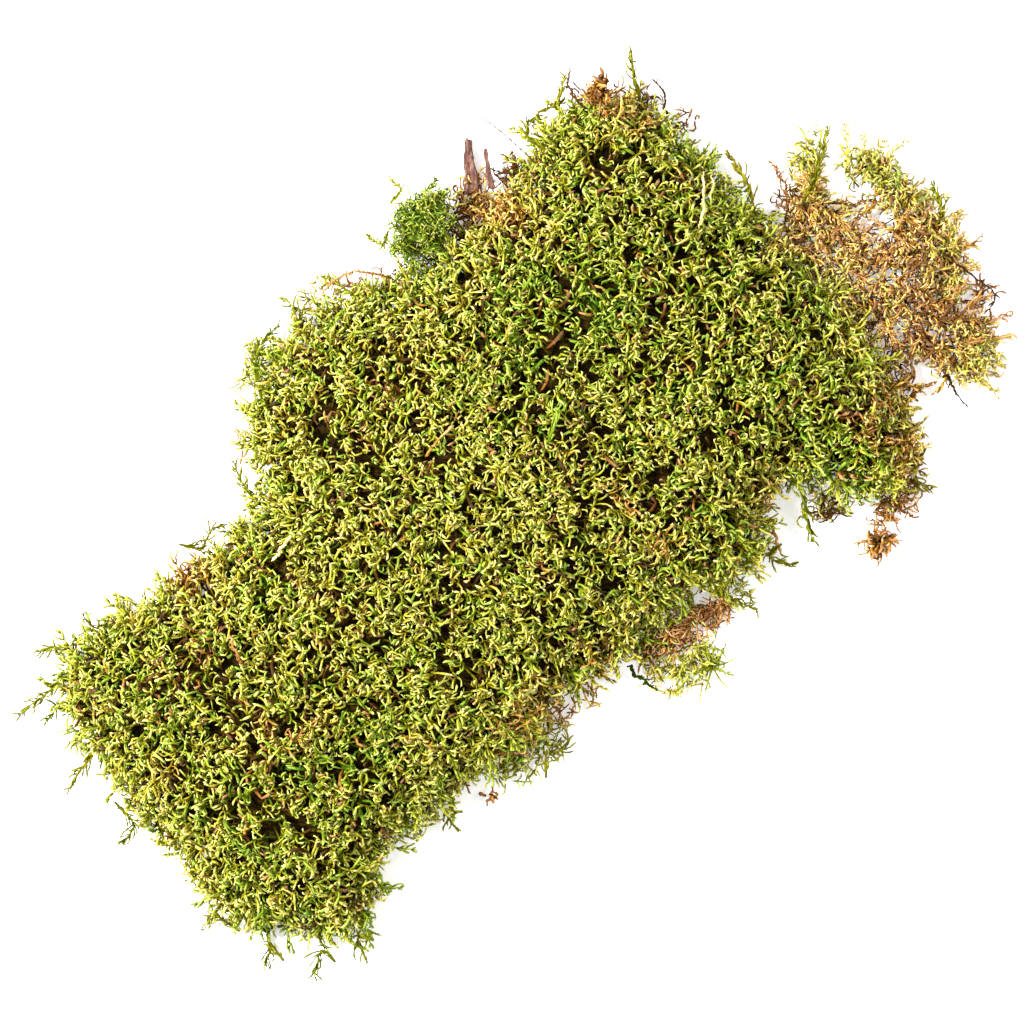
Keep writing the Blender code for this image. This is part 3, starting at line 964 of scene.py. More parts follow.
GREENER = (
    Spot(58, 21, 14, 0.87), Spot(72, 32, 16, 0.73), Spot(28, 32, 12, 0.73), Spot(85, -44, 14, 0.72),
    Spot(87, -65, 9, 0.78), Spot(-75, -31, 9, 0.77), Spot(-88, -23, 12, 0.80), Spot(-105, -31, 9, 0.74),
    Spot(-116, -12, 11, 0.70),
    Spot(98, 4, 12, 0.71), Spot(44, 40, 9, 0.75), Spot(30, -48, 9, 0.70), Spot(-118, 28, 10, 0.70),
    Spot(60, -20, 10, 0.70), Spot(110, -22, 9, 0.70), Spot(-136, -44, 9, 0.70),
)
DEAD = (
    Spot(-36, -56, 7, 0.24), Spot(-28, -54, 4, 0.38), Spot(12, 45, 4, 0.27), Spot(24, -27, 3.5, 0.25),
    Spot(25, -43, 4, 0.26), Spot(-105, -10, 4, 0.25), Spot(-90, -15, 4.5, 0.22), Spot(-67, -37, 4, 0.27),
    Spot(-130, 8, 4, 0.24), Spot(56, 62, 8, 0.16), Spot(-88, 40, 6, 0.15), Spot(112, -2, 5, 0.30),
    Spot(108, -57, 7, 0.25), Spot(101, -69, 6, 0.27), Spot(95, -79, 7, 0.20), Spot(110, -40, 5, 0.30),
    Spot(114, -28, 6, 0.42), Spot(106, 62, 5, 0.22), Spot(-14, -56, 6, 0.30), Spot(60, -57, 5, 0.30),
)
YELLOWER = (
    Spot(-20, 25, 34, 0.58), Spot(-60, 5, 30, 0.60), Spot(0, -20, 26, 0.58), Spot(-140, 0, 12, 0.62),
)
INSETS = (
    Spot(-34, -66, 14, 4.0), Spot(-62, -64, 12, 4.5), Spot(-100, -64, 14, 5.0), Spot(60, -62, 10, 4.5),
    Spot(-142, -52, 10, 3.0), Spot(-42, 64, 10, -2.5), Spot(-88, 44, 8, -1.5), Spot(10, -62, 12, 2.0),
)


def inset(point: Vector) -> float:
    """How much deeper than usual the shoots stand at a place, in metres."""
    return sum(spot.tone * spot.weight(point) for spot in INSETS) * MM


def mat_tone(point: Vector) -> float:
    """The tone of the living mat at a place: yellow-green, with greener, older and dead patches."""
    tone = 0.625 + 0.08 * mounds(point, 21.0, 3.0) + 0.12 * mounds(point, 6.0, 9.0)
    for spot in YELLOWER + GREENER + DEAD:
        tone += (spot.tone - tone) * 0.85 * spot.weight(point)
    return tone


def patch_of(node: str, name: str, keep: Callable[[Vector, Vector], bool],
             tone: Callable[[Vector], float], comb: Callable[[Vector, Vector], Vector],
             cover: Callable[[Vector, Vector], float], cuts: int = 1,
             ripple: float = 0.0) -> bpy.types.Object:
    """A part of a CAD node's surface, refined and given what the scatter reads.

    Args:
        node: the CAD node; name: the new object's name.
        keep: whether a face stays, from its centre and normal.
        tone, comb, cover: the tone, the lean and the density at a point, from its place and normal.
        cuts: how often each edge is cut.
        ripple: height of fine mounds raised on it, in millimetres.

    Returns:
        The patch.
    """
    shape = merged_copy(node)
    unwanted = [f for f in shape.faces if not keep(f.calc_center_median(), f.normal)]
    bmesh.ops.delete(shape, geom=unwanted, context="FACES")
    if cuts:
        bmesh.ops.subdivide_edges(shape, edges=shape.edges[:], cuts=cuts, use_grid_fill=True)
    shape.normal_update()
    for vert in shape.verts:
        vert.co += vert.normal * ripple * MM * mounds(vert.co, 9.0, 1.0)
    mesh = mesh_from(shape, name)
    places = [vert.co.copy() for vert in mesh.vertices]
    normals = [vert.normal.copy() for vert in mesh.vertices]
    for label, numbers in (
        ("tone", [tone(p) for p in places]),
        ("cover", [cover(p, n) for p, n in zip(places, normals)]),
        ("inset", [inset(p) if node == "moss_mat" else 0.0 for p in places]),
    ):
        mesh.attributes.new(label, "FLOAT", "POINT").data.foreach_set("value", numbers)
    leans = np.array([comb(p, n) for p, n in zip(places, normals)]).ravel()
    mesh.attributes.new("comb", "FLOAT_VECTOR", "POINT").data.foreach_set("vector", leans)
    return new_object(name, mesh)


def outward(normal: Vector) -> Vector:
    """The level part of a normal."""
    return Vector((normal.x, normal.y, 0.0))


EVERY_SLOPE = -2.0  # lower than any normal, so it keeps every face


def full_cover(place: Vector, normal: Vector) -> float:
    """As dense as the distance between the sprigs allows."""
    return 1.0


def faces_above(slope: float) -> Callable[[Vector, Vector], bool]:
    """A test for faces whose normals rise by more than this, from -1 for down to 1 for up."""
    return lambda centre, normal: normal.z > slope


# The sprigs that are scattered --------------------------------------------------------------------


CREEPER = Frond(branch_length=3.0, branch_radius=0.28, spacing=3.4, spread=0.9, curl=1.2, lift=0.05,
                rings=5, stem_radius=0.42, bare=0.05, wild=0.12)


@dataclass
class SprigBox:
    """Ready-made sprigs, each kind in a collection of its own, until they have been scattered."""

    seed: int = 11
    curlers: int = 40
    fronds: int = 12
    creepers: int = 8

    def build(self) -> None:
        """Grow the three kinds of sprig."""
        rng = np.random.default_rng(self.seed)
        self.upright = self._box("upright_sprigs", "curler", self.curlers, self._curler, rng)
        self.lying = self._box("lying_sprigs", "frond", self.fronds, self._frond, rng)
        self.creeping = self._box("creeping_sprigs", "creeper", self.creepers, self._creeper, rng)

    @staticmethod
    def _box(name: str, kind: str, count: int, grow: Callable, rng: np.random.Generator
             ) -> bpy.types.Collection:
        """A collection of this many sprigs of one kind."""
        box = bpy.data.collections.new(name)
        bpy.context.scene.collection.children.link(box)
        for number in range(count):
            batch = StrandBatch()
            grow(batch, rng)
            sprig = f"{kind}_{number:02d}"
            box.objects.link(bpy.data.objects.new(sprig, batch.mesh(sprig)))
        return box

    @staticmethod
    def _curler(batch: StrandBatch, rng: np.random.Generator) -> None:
        """Grow an upright shoot with curled branchlets."""
        curler = Curler(height=rng.uniform(7.0, 9.4), reach=rng.uniform(1.5, 4.4),
                        branch_length=rng.uniform(4.4, 6.3), bend=rng.uniform(2.2, 4.0))
        curler.grow(batch, rng)

    @staticmethod
    def _frond(batch: StrandBatch, rng: np.random.Generator) -> None:
        """Grow an arched frond that lies along +X."""
        length = rng.uniform(12.0, 17.0)
        share = np.linspace(0, 1, 9)
        arch = np.stack([length * share, rng.uniform(-2.5, 2.5) * share ** 2,
                         3.2 * np.sin(share * math.pi * 0.75)], 1) * MM
        frond = Frond(branch_length=rng.uniform(4.2, 6.0), branch_radius=0.4, spacing=2.1,
                      curl=rng.uniform(0.8, 1.9), rings=5)
        frond.grow(batch, arch, 0.0, rng)

    @staticmethod
    def _creeper(batch: StrandBatch, rng: np.random.Generator) -> None:
        """Grow a thin, flat, waving stem along +X."""
        length = rng.uniform(16.0, 24.0)
        share = np.linspace(0, 1, 12)
        wave = np.stack([length * share, 1.8 * np.sin(share * rng.uniform(3, 7)),
                         0.4 * np.sin(share * 9)], 1) * MM
        CREEPER.grow(batch, wave, 0.0, rng)

    def clear(self) -> None:
        """Remove the sprigs, once they have been scattered."""
        for box in (self.upright, self.lying, self.creeping):
            for sprig in list(box.objects):
                bpy.data.objects.remove(sprig)
            bpy.data.collections.remove(box)


def settle(piece: bpy.types.Object, slot: Slot, *nodes: str) -> None:
    """Tie a finished piece to the clump's body and hide the solids that it stands for."""
    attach(piece, "root")
    if nodes:
        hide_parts(*nodes)
    log.info("%s: %d faces", piece.name, len(piece.data.polygons))


def lay_down(batch: StrandBatch, name: str, material: bpy.types.Material, slot: Slot,
             *nodes: str) -> None:
    """Make strands a finished piece that rests on the ground."""
    piece = batch.piece(name, material)
    rest_on_ground(piece.data)
    settle(piece, slot, *nodes)


# The mat ------------------------------------------------------------------------------------------


@dataclass
class Mat:
    """The thick green mat: upright shoots all over it, a fringe round it, dead stems below.

    The bands run from one place along the mat to another. The shoots stand at a distance from one
    another and sink below the surface, over a dead layer that lies deeper; all are in millimetres.
    """

    sprigs: SprigBox
    moss: bpy.types.Material
    felt_and_gap_shade: bpy.types.Material
    bands: tuple = (("left_end_moss", -200, -92), ("left_middle_moss", -92, -38),
                    ("middle_moss", -38, 10), ("right_middle_moss", 10, 60),
                    ("right_end_moss", 60, 200))
    distance: float = 2.62
    sink: float = 8.4
    depth: float = 7.2
    foot_inset: float = 8.0

    def build(self) -> None:
        """Make the mat's pieces."""
        for number, (name, low, high) in enumerate(self.bands):
            patch = patch_of("moss_mat", f"{name}_patch", self._between(low, high), mat_tone,
                             self._lean, full_cover, ripple=1.2)
            piece = Scatter(Stance.UPRIGHT, self.moss).over(
                patch, name, self.sprigs.upright, self.distance, self.sink, sway=0.6, seed=20 + number)
            settle(piece, Slot.MOSS, "moss_mat")
        fringe = patch_of("moss_mat", "fringe_patch", lambda centre, normal: abs(normal.z) < 0.75,
                          self._fringe_tone, self._fringe_lean, full_cover)
        # The fringe's strands end at 0.84 of the painted shade, so their tips stay darker and less pale.
        piece = Scatter(Stance.LYING, self.moss, top=0.84).over(
            fringe, "edge_fringe_moss", self.sprigs.lying, distance=6.7, sink=9.0, sway=0.55, seed=31)
        settle(piece, Slot.MOSS, "moss_mat")
        below = patch_of("moss_mat", "below_patch", lambda centre, normal: normal.z < -0.9,
                         self._dead_tone, self._lengthwise, self._well_inside, cuts=3)
        piece = Scatter(Stance.LYING, self.moss).over(
            below, "dead_stems_below", self.sprigs.creeping, distance=12.5, sink=1.4, sway=1.0, seed=33)
        settle(piece, Slot.BARK, "moss_mat")
        self._underlayer()

    @staticmethod
    def _lengthwise(place: Vector, normal: Vector) -> Vector:
        """The dead stems below run a little more along the mat than across it."""
        return Vector((0.2, 0.0, 0.0))

    @staticmethod
    def _well_inside(place: Vector, normal: Vector) -> float:
        """1 where a dead stem fits below the mat, and 0 near its edge."""
        return float(surface_tree("moss_mat", True).find_nearest(place)[3] > 17 * MM)

    @staticmethod
    def _fringe_tone(place: Vector) -> float:
        """The tone of the fringe: a little greener than the mat."""
        return mat_tone(place) + 0.05

    @staticmethod
    def _dead_tone(place: Vector) -> float:
        """The tone of the dead stems below: brown, with paler ones."""
        return 0.17 + 0.11 * mounds(place, 12.0, 8.0)

    @staticmethod
    def _between(low: float, high: float) -> Callable[[Vector, Vector], bool]:
        """A test for faces that look up or out, between two places along the mat."""
        return lambda centre, normal: normal.z > -0.5 and low <= centre.x / MM < high

    @staticmethod
    def _lean(place: Vector, normal: Vector) -> Vector:
        """The way the shoots lean: a slow swirl, and outwards at the edge."""
        turn = 6.0 * mounds(place, 38.0, 5.0)
        swirl = Vector((math.cos(turn), math.sin(turn), 0.0)) * 0.5
        return swirl + outward(normal) * 0.9

    @staticmethod
    def _fringe_lean(place: Vector, normal: Vector) -> Vector:
        """The fringe runs outwards."""
        return outward(normal).normalized() + Vector((0, 0, 0.05))

    def _underlayer(self) -> None:
        """The dead, brown lower stems: what shows in the gaps and on the underside.

        The foot lies flat just above the ground, and the rest nowhere lower than the layer's rim. Its felt
        is nearly black: partly the brown of dead stems and partly painted shade in the deep gaps.
        """
        ground, foot, rim = 0.5 * MM, 0.4 * MM, 1.2 * MM
        shape = merged_copy("moss_mat")
        bmesh.ops.triangulate(shape, faces=shape.faces[:])
        shape.normal_update()
        for vert in shape.verts:
            if vert.co.z < ground:
                vert.co -= outward(vert.normal) * self.foot_inset * MM
                vert.co.z = foot
            else:
                vert.co -= vert.normal * self.depth * MM
                vert.co.z = max(vert.co.z, rim)
        mesh = mesh_from(shape, "dead_underlayer")
        mesh.materials.append(self.felt_and_gap_shade)
        settle(new_object(mesh.name, mesh), Slot.BARK, "moss_mat")


# Single shoots and stems --------------------------------------------------------------------------


@dataclass
class MiddleLine:
    """The middle of a thin solid, from the end nearest to what it grows from."""

    node: str
    anchors: tuple = ("moss_mat", "dry_moss_lobe", "green_tuft")
    steps: int = 9

    def build(self) -> "MiddleLine":
        """Find the points and the mean radius.

        Returns:
            The line itself.
        """
        shape = merged_copy(self.node)
        shape.verts.index_update()
        places = np.array([vert.co[:] for vert in shape.verts])
        links = [[(edge.other_vert(vert).index, edge.calc_length()) for edge in vert.link_edges]
                 for vert in shape.verts]
        shape.free()
        far_end = int(np.argmax(self._reach(links, 0)))
        reach = self._reach(links, far_end)
        bins = np.minimum((reach / reach.max() * self.steps).astype(int), self.steps - 1)
        groups = [places[bins == step] for step in range(self.steps) if (bins == step).any()]
        points = np.array([group.mean(0) for group in groups])
        spread = [np.linalg.norm(np.cross(group - group.mean(0), self._way(points, i)), axis=1).mean()
                  for i, group in enumerate(groups)]
        if self.anchors and self._clearance(points[-1]) < self._clearance(points[0]):
            points = points[::-1]
        half = max(1, len(groups) // 2)
        ends = points[0] - points[1], points[-1] - points[-2]
        self.points = np.vstack([points[0] + 0.5 * ends[0], points, points[-1] + 0.5 * ends[1]])
        self.radius = float(np.mean(sorted(spread)[half:]))
        return self

    def _clearance(self, place: np.ndarray) -> float:
        """The distance from a point to the nearest solid that the line may grow from."""
        return min(surface_tree(node).find_nearest(Vector(place))[3] for node in self.anchors)

    @staticmethod
    def _way(points: np.ndarray, place: int) -> np.ndarray:
        """The direction of the line at one of its points."""
        return unit(points[min(place + 1, len(points) - 1)] - points[max(place - 1, 0)])

    @staticmethod
    def _reach(links: list, start: int) -> np.ndarray:
        """The distance of every vertex from one of them, along the edges."""
        reach = np.full(len(links), np.inf)
        reach[start] = 0.0
        waiting = {start}
        while waiting:
            here = min(waiting, key=lambda place: reach[place])
            waiting.remove(here)
            for there, length in links[here]:
                if reach[here] + length < reach[there] - TINY:
                    reach[there] = reach[here] + length
                    waiting.add(there)
        return np.where(np.isfinite(reach), reach, 0.0)

    def path(self, root: float = 0.0, drop: float = 0.0, wobble: float = 0.0,
             rng: np.random.Generator | None = None, count: int = 24) -> np.ndarray:
        """Smooth points along the line.

        Args:
            root: how far it runs on at its thick end, and drop: how far that end sinks, in millimetres.
            wobble: how crooked it is, in millimetres.
            rng: the random numbers of the wobble.
            count: the number of points.

        Returns:
            The points, from the root to the tip.
        """
        points = self.points
        if root:
            back = unit(points[0] - points[2]) * root * MM + np.array([0, 0, -drop * MM])
            points = np.vstack([points[0] + back, points])
        run = run_of(points)
        smooth = points_at(points, run, np.linspace(0, run[-1], count))
        for _ in range(2):
            smooth[1:-1] = 0.25 * smooth[:-2] + 0.5 * smooth[1:-1] + 0.25 * smooth[2:]
        if wobble and rng is not None:
            smooth[1:-1, :2] += rng.normal(0, wobble * MM, (count - 2, 2))
            smooth[1:-1, 2] += rng.normal(0, 0.4 * wobble * MM, count - 2)
        return smooth


@dataclass(frozen=True)
class ShootGroup:
    """Single shoots that stand clear of one side of the mat.

    Root is how far they run on into the mat, wobble how crooked they are and rise how much higher
    than their solids they lie, in millimetres; part is the share of the length that is grown.
    """

    name: str
    nodes: tuple
    tones: tuple
    frond: Frond
    slot: Slot = Slot.PALE
    root: float = 8.0
    wobble: float = 0.0
    rise: float = 0.0
    part: float = 1.0


def numbered(name: str, count: int) -> tuple[str, ...]:
    """The names of solids that are numbered from 1."""
    return tuple(f"{name}_{number}" for number in range(1, count + 1))


EDGE_FROND = Frond(branch_length=5.6, branch_radius=0.35, spacing=1.5, spread=0.60, curl=0.9, lift=0.2,
                   rings=6, stem_radius=0.48, bare=0.05, wild=0.4, shade=(0.20, 0.52))
LEFT_FROND = replace(EDGE_FROND, branch_length=6.6, branch_radius=0.34, spacing=1.6, spread=0.58,
                     lift=0.15, shade=(0.20, 0.50))
TUFT_FROND = replace(EDGE_FROND, branch_length=2.8, branch_radius=0.34, spacing=1.1, spread=0.8,
                     rings=5, stem_radius=0.42, wild=0.3, shade=(0.28, 0.62))
BROWN_FROND = replace(EDGE_FROND, branch_length=3.4, branch_radius=0.30, spacing=1.3, spread=0.95,
                      curl=2.4, lift=0.3, stem_radius=0.38, wild=0.6, shade=(0.3, 0.8))
ORANGE_FROND = Frond(branch_length=1.7, branch_radius=0.26, spacing=0.9, spread=0.6, lift=0.1,
                     rings=5, stem_radius=0.36, bare=0.0, wild=0.4)
DARK_FROND = replace(EDGE_FROND, branch_length=2.0, branch_radius=0.34, spacing=0.8, spread=0.5,
                     curl=0.5, rings=5, stem_radius=0.50, bare=0.0, shade=(0.2, 0.55))
COMB_FROND = Frond(branch_length=8.0, branch_radius=0.34, spread=0.5, lift=0.1, rings=8,
                   stem_radius=0.40, bare=0.0, wild=0.15, shade=(0.3, 1.0))
STAR_FROND = Frond(branch_length=2.2, branch_radius=0.28, spacing=1.3, spread=0.6, curl=0.4, lift=0.2,
                   rings=4, stem_radius=0.3, bare=0.1, wild=0.2, shade=(0.3, 0.6))
DEAD_FROND = Frond(branch_length=8.5, branch_radius=0.30, spacing=0.42, spread=1.15, curl=1.5, lift=0.3,
                   rings=8, bare=0.0, wild=0.9, shade=(0.35, 1.0))

SHOOT_GROUPS = (
    ShootGroup("left_shoots", numbered("left_shoot", 8),
               (0.66, 0.74, 0.62, 0.70, 0.60, 0.66, 0.72, 0.64), LEFT_FROND),
    ShootGroup("lower_shoots", numbered("lower_shoot", 6),
               (0.60, 0.58, 0.64, 0.62, 0.70, 0.58), replace(EDGE_FROND, spread=0.62, curl=1.0)),
    ShootGroup("right_shoots", numbered("right_shoot", 3),
               (0.52, 0.62, 0.66), replace(EDGE_FROND, spread=0.58)),
    ShootGroup("top_shoots", numbered("top_shoot", 9),
               (0.62, 0.66, 0.60, 0.72, 0.64, 0.60, 0.68, 0.62, 0.66), EDGE_FROND),
    ShootGroup("tuft_arms", numbered("tuft_shoot", 3),
               (0.70, 0.66, 0.74), TUFT_FROND, Slot.BRIGHT, root=3.0, wobble=0.15),
    ShootGroup("dried_shoots",
               ("wiry_dead_shoot", "brown_dead_shoot", "brown_wiry_shoot", "dark_dried_shoot"),
               (0.15, 0.20, 0.12, 0.08), BROWN_FROND, Slot.BARK, root=4.0, wobble=0.35),
    ShootGroup("orange_shoots", ("orange_dead_shoot", "arched_dry_stem"),
               (0.22, 0.21), ORANGE_FROND, Slot.DRY, root=1.0, wobble=0.2, rise=1.0),
    ShootGroup("dark_drooping_shoot", ("dark_green_shoot",),
               (0.96,), DARK_FROND, Slot.MOSS, root=0.5),
    ShootGroup("bright_comb_shoot", ("bright_surface_shoot",),
               (0.78,), COMB_FROND, Slot.BRIGHT, root=0.0, rise=0.9, part=0.62),
)


@dataclass
class Shoots:
    """Every single shoot, grown along the middle line of its solid."""

    moss: bpy.types.Material
    seed: int = 41
    drop: float = 2.0
    tip_gain: float = 0.03

    def build(self) -> None:
        """Grow the groups."""
        for number, group in enumerate(SHOOT_GROUPS):
            rng = np.random.default_rng(self.seed + number)
            batch = StrandBatch()
            for node, tone in zip(group.nodes, group.tones):
                path = MiddleLine(node).build().path(group.root, self.drop, group.wobble, rng)
                path[:, 2] += group.rise * MM
                path = path[:max(6, int(group.part * len(path)))]
                group.frond.grow(batch, path, tone, rng, tone + self.tip_gain)
            lay_down(batch, group.name, self.moss, group.slot, *group.nodes)


@dataclass(frozen=True)
class Stem:
    """A bare stem: the solid that it follows, its look, and how crooked and knotty it is.

    Thinning is the share of its girth that it loses by the tip, girth its thickness against its
    solid's, stubs the number of its broken side branches; the rest is in millimetres.
    """

    node: str
    tone: float
    slot: Slot
    wobble: float = 0.10
    thinning: float = 0.4
    stubs: int = 0
    root: float = 0.0
    girth: float = 1.0
    rise: float = 0.0


ROOTLET = Stem("forked_rootlet", 0.40, Slot.STRAW, wobble=0.16, stubs=3, girth=0.85, rise=1.9)
STEMS = (
    Stem("black_bent_stem", 0.02, Slot.DARK, stubs=7, girth=0.55, rise=1.0),
    Stem("dark_hook_stem", 0.02, Slot.DARK, stubs=2, root=3.0, rise=1.0),
    Stem("thin_black_stalk", 0.02, Slot.DARK, wobble=0.12, stubs=1, root=3.0),
    Stem("leaf_scrap_stalk", 0.06, Slot.BARK, wobble=0.15, stubs=2, root=3.0),
    Stem("fine_hair", 0.07, Slot.STRAW, wobble=0.05, root=3.0, girth=0.8),
    ROOTLET,
    replace(ROOTLET, node="rootlet_arm", wobble=0.14, thinning=0.5, stubs=1),
    replace(ROOTLET, node="light_stick", tone=0.38, wobble=0.08, thinning=0.1, stubs=0, rise=1.6),
    Stem("dry_needle", 0.25, Slot.HUSK, thinning=0.3, girth=0.8, rise=1.3),
    Stem("pink_brown_stick", 0.22, Slot.HUSK, thinning=0.2, stubs=1, root=2.0, girth=0.8, rise=1.0),
)


@dataclass
class Stems:
    """The bare stems, rootlets and needles, with knots, kinks and broken side stubs."""

    moss: bpy.types.Material
    seed: int = 77
    rings: int = 26
    drop: float = 1.0
    knots: float = 0.16
    pale_shade: tuple = (0.85, 1.0)
    dark_shade: tuple = (0.5, 0.9)

    def build(self) -> None:
        """Make the stems."""
        for number, stem in enumerate(STEMS):
            rng = np.random.default_rng(self.seed + number)
            line = MiddleLine(stem.node).build()
            path = line.path(stem.root, self.drop, stem.wobble, rng, self.rings)
            path[:, 2] += stem.rise * MM
            share = np.linspace(0, 1, self.rings)
            knots = 1 + self.knots * rng.normal(0, 1, self.rings)
            radius = line.radius * stem.girth * (1 - stem.thinning * share ** 1.5) * knots
            batch = StrandBatch(sides=6)
            shade = self.pale_shade if stem.slot is Slot.STRAW else self.dark_shade
            batch.add(path[None], radius[None], UP[None], np.array([stem.tone]), shade)
            if stem.stubs:
                self._stubs(batch, stem, path, line.radius, rng)
            piece = batch.piece(stem.node + "_detailed", self.moss)
            settle(piece, stem.slot, stem.node)

    @staticmethod
    def _stubs(batch: StrandBatch, stem: Stem, path: np.ndarray, radius: float,
               rng: np.random.Generator) -> None:
        """Add short, broken side branches to a stem."""
        count, rings = stem.stubs, 6
        spots = rng.integers(4, len(path) - 3, count)
        heading = unit(path[spots + 1] - path[spots])
        side = square_to(heading, rng.normal(0, 1, (count, 3)) * (1, 1, 0.3))
        way = unit(heading * 0.6 + side)
        axis = square_to(way, rng.normal(0, 1, (count, 3)))
        length = rng.uniform(1.2, 3.4, count) * MM
        stubs = curled(path[spots], way, axis, length, rng.normal(0, 1.4, count), rings)
        radii = np.full((count, rings), 0.55 * radius) * np.linspace(1, 0.5, rings)
        batch.add(stubs, radii, axis, np.full(count, stem.tone + 0.03), (0.5, 0.95))


# The dry lobe and the bright tuft -----------------------------------------------------------------


LOBE_SPOTS = (
    Spot(128, 2, 6, 0.46), Spot(143, -2, 9, 0.66), Spot(148, -8, 8, 0.64), Spot(120, -4, 6, 0.34),
    Spot(124, -14, 6, 0.30), Spot(116, -24, 7, 0.54), Spot(138, -22, 8, 0.21), Spot(146, -26, 7, 0.27),
    Spot(132, -34, 9, 0.22), Spot(142, -38, 7, 0.33), Spot(120, -40, 6, 0.40), Spot(126, -50, 5, 0.16),
    Spot(136, -52, 6, 0.32), Spot(136, -66, 5, 0.60), Spot(128, -66, 6, 0.50), Spot(152, -20, 4, 0.60),
    Spot(149, -33, 4.5, 0.60), Spot(143.5, -47, 4.5, 0.57),
)
LOBE_GAPS = (
    Spot(135.5, 1, 4.5, 1.0), Spot(137.5, -6, 4.5, 1.0), Spot(136, -14, 4.5, 1.0), Spot(127, -52, 3.0, 1.0),
    Spot(118, -43, 3.0, 1.0),
)


def lobe_cover(point: Vector, normal: Vector) -> float:
    """How densely the lobe is covered: less where the ground shows through."""
    gap = max(spot.weight(point) for spot in LOBE_GAPS)
    return max(0.0, 1.0 - 1.6 * gap)


def lobe_tone(point: Vector) -> float:
    """The tone of the dry lobe: tan and orange, with yellow-green fronds at its outer rim."""
    tone = 0.250 + 0.20 * mounds(point, 6.0, 4.0)
    for spot in LOBE_SPOTS:
        tone += (spot.tone - tone) * 0.8 * spot.weight(point)
    return tone


@dataclass
class DryLobe:
    """The loose, bleached end: an open tangle of dead fronds and curled branchlets."""

    sprigs: SprigBox
    moss: bpy.types.Material
    base: float = 0.2
    darkest: float = 0.10

    def build(self) -> None:
        """Make the lobe's two pieces."""
        curls = patch_of("dry_moss_lobe", "lobe_patch", faces_above(-0.2), lobe_tone, self._lean,
                         lobe_cover)
        piece = Scatter(Stance.UPRIGHT, self.moss, self.base, self.darkest).over(
            curls, "dry_lobe_curls", self.sprigs.upright, distance=1.85, sink=6.3, sway=0.9, seed=51,
            size=0.88)
        settle(piece, Slot.DRY, "dry_moss_lobe")
        fronds = patch_of("dry_moss_lobe", "lobe_frond_patch", faces_above(EVERY_SLOPE),
                          self._low_tone, self._run, lobe_cover)
        piece = Scatter(Stance.LYING, self.moss, self.base, self.darkest).over(
            fronds, "dry_lobe_fronds", self.sprigs.lying, distance=6.2, sink=3.4, sway=0.5, seed=52,
            size=0.85)
        settle(piece, Slot.DRY, "dry_moss_lobe")

    @staticmethod
    def _low_tone(place: Vector) -> float:
        """The tone of the fronds that lie below the curls: darker and redder."""
        return lobe_tone(place) - 0.08

    @staticmethod
    def _lean(place: Vector, normal: Vector) -> Vector:
        """The curls lean away from the mat and outwards."""
        return outward(normal) * 0.4 + Vector((0.35, -0.1, 0.0))

    @staticmethod
    def _run(place: Vector, normal: Vector) -> Vector:
        """The fronds run outwards at the rim and to the tail in the middle."""
        return outward(normal) + Vector((0.35, -0.25, 0.05))


@dataclass
class BrightTuft:
    """The small, much brighter green tuft at the upper edge: fine leaves round a darker heart of painted
    shade.
    """

    sprigs: SprigBox
    moss: bpy.types.Material
    heart: bpy.types.Material
    depth: float = 2.0
    foot: float = 0.4

    def build(self) -> None:
        """Make the leaves and the heart."""
        patch = patch_of("green_tuft", "tuft_patch", faces_above(-0.4), self._tone, self._lean,
                         self._cover)
        piece = Scatter(Stance.UPRIGHT, self.moss, base=0.1, darkest=0.64).over(
            patch, "bright_tuft", self.sprigs.upright, distance=1.5, sink=3.6, sway=0.9, seed=61,
            size=0.58)
        settle(piece, Slot.BRIGHT, "green_tuft")
        shape = merged_copy("green_tuft")
        for vert in shape.verts:
            vert.co -= vert.normal * self.depth * MM
            vert.co.z = max(vert.co.z, self.foot * MM)
        mesh = mesh_from(shape, "bright_tuft_heart")
        mesh.materials.append(self.heart)
        settle(new_object(mesh.name, mesh), Slot.BRIGHT, "green_tuft")

    @staticmethod
    def _lean(place: Vector, normal: Vector) -> Vector:
        """The leaves lean outwards."""
        return outward(normal) * 0.5

    @staticmethod
    def _cover(place: Vector, normal: Vector) -> float:
        """Full cover on the side away from the bark, and little beside it."""
        return 1.0 if place.x - place.y < -30 * MM else 0.12

    @staticmethod
    def _tone(place: Vector) -> float:
        """Bright green, yellower in places."""
        return 0.765 + 0.09 * mounds(place, 6.0, 2.0)


def outline_of(node: str) -> np.ndarray:
    """The points of a CAD node."""
    return np.array([tuple(vert.co) for vert in frame["nodes"][node].data.vertices])


@dataclass
class DeadFrond:
    """A feathery dead frond: a curved stem with close, curled, reddish brown branchlets.

    Overrun is the share of its length past each end of its solid; arch and rise are in millimetres.
    """

    moss: bpy.types.Material
    tone: float = 0.17
    tip_tone: float = 0.27
    overrun: float = 0.06
    arch: float = 1.6
    rise: float = 1.2
    seed: int = 95

    def build(self) -> None:
        """Make the frond along the length of its solid."""
        rng = np.random.default_rng(self.seed)
        points = outline_of("dead_frond")
        middle = points.mean(0)
        long_way = np.linalg.svd(points - middle, full_matrices=False)[2][0]
        reach = (points - middle) @ long_way
        share = np.linspace(0, 1, 14)
        spread = (1 + 2 * self.overrun) * share - self.overrun
        bow = np.sin(share * math.pi)
        path = middle + np.outer(reach.min() + np.ptp(reach) * spread, long_way)
        path += np.outer(bow, np.cross(long_way, UP)) * self.arch * MM
        path[:, 2] = middle[2] + self.rise * MM * bow
        batch = StrandBatch()
        DEAD_FROND.grow(batch, path, self.tone, rng, self.tip_tone)
        lay_down(batch, "dead_fern_frond", self.moss, Slot.DRY, "dead_frond")


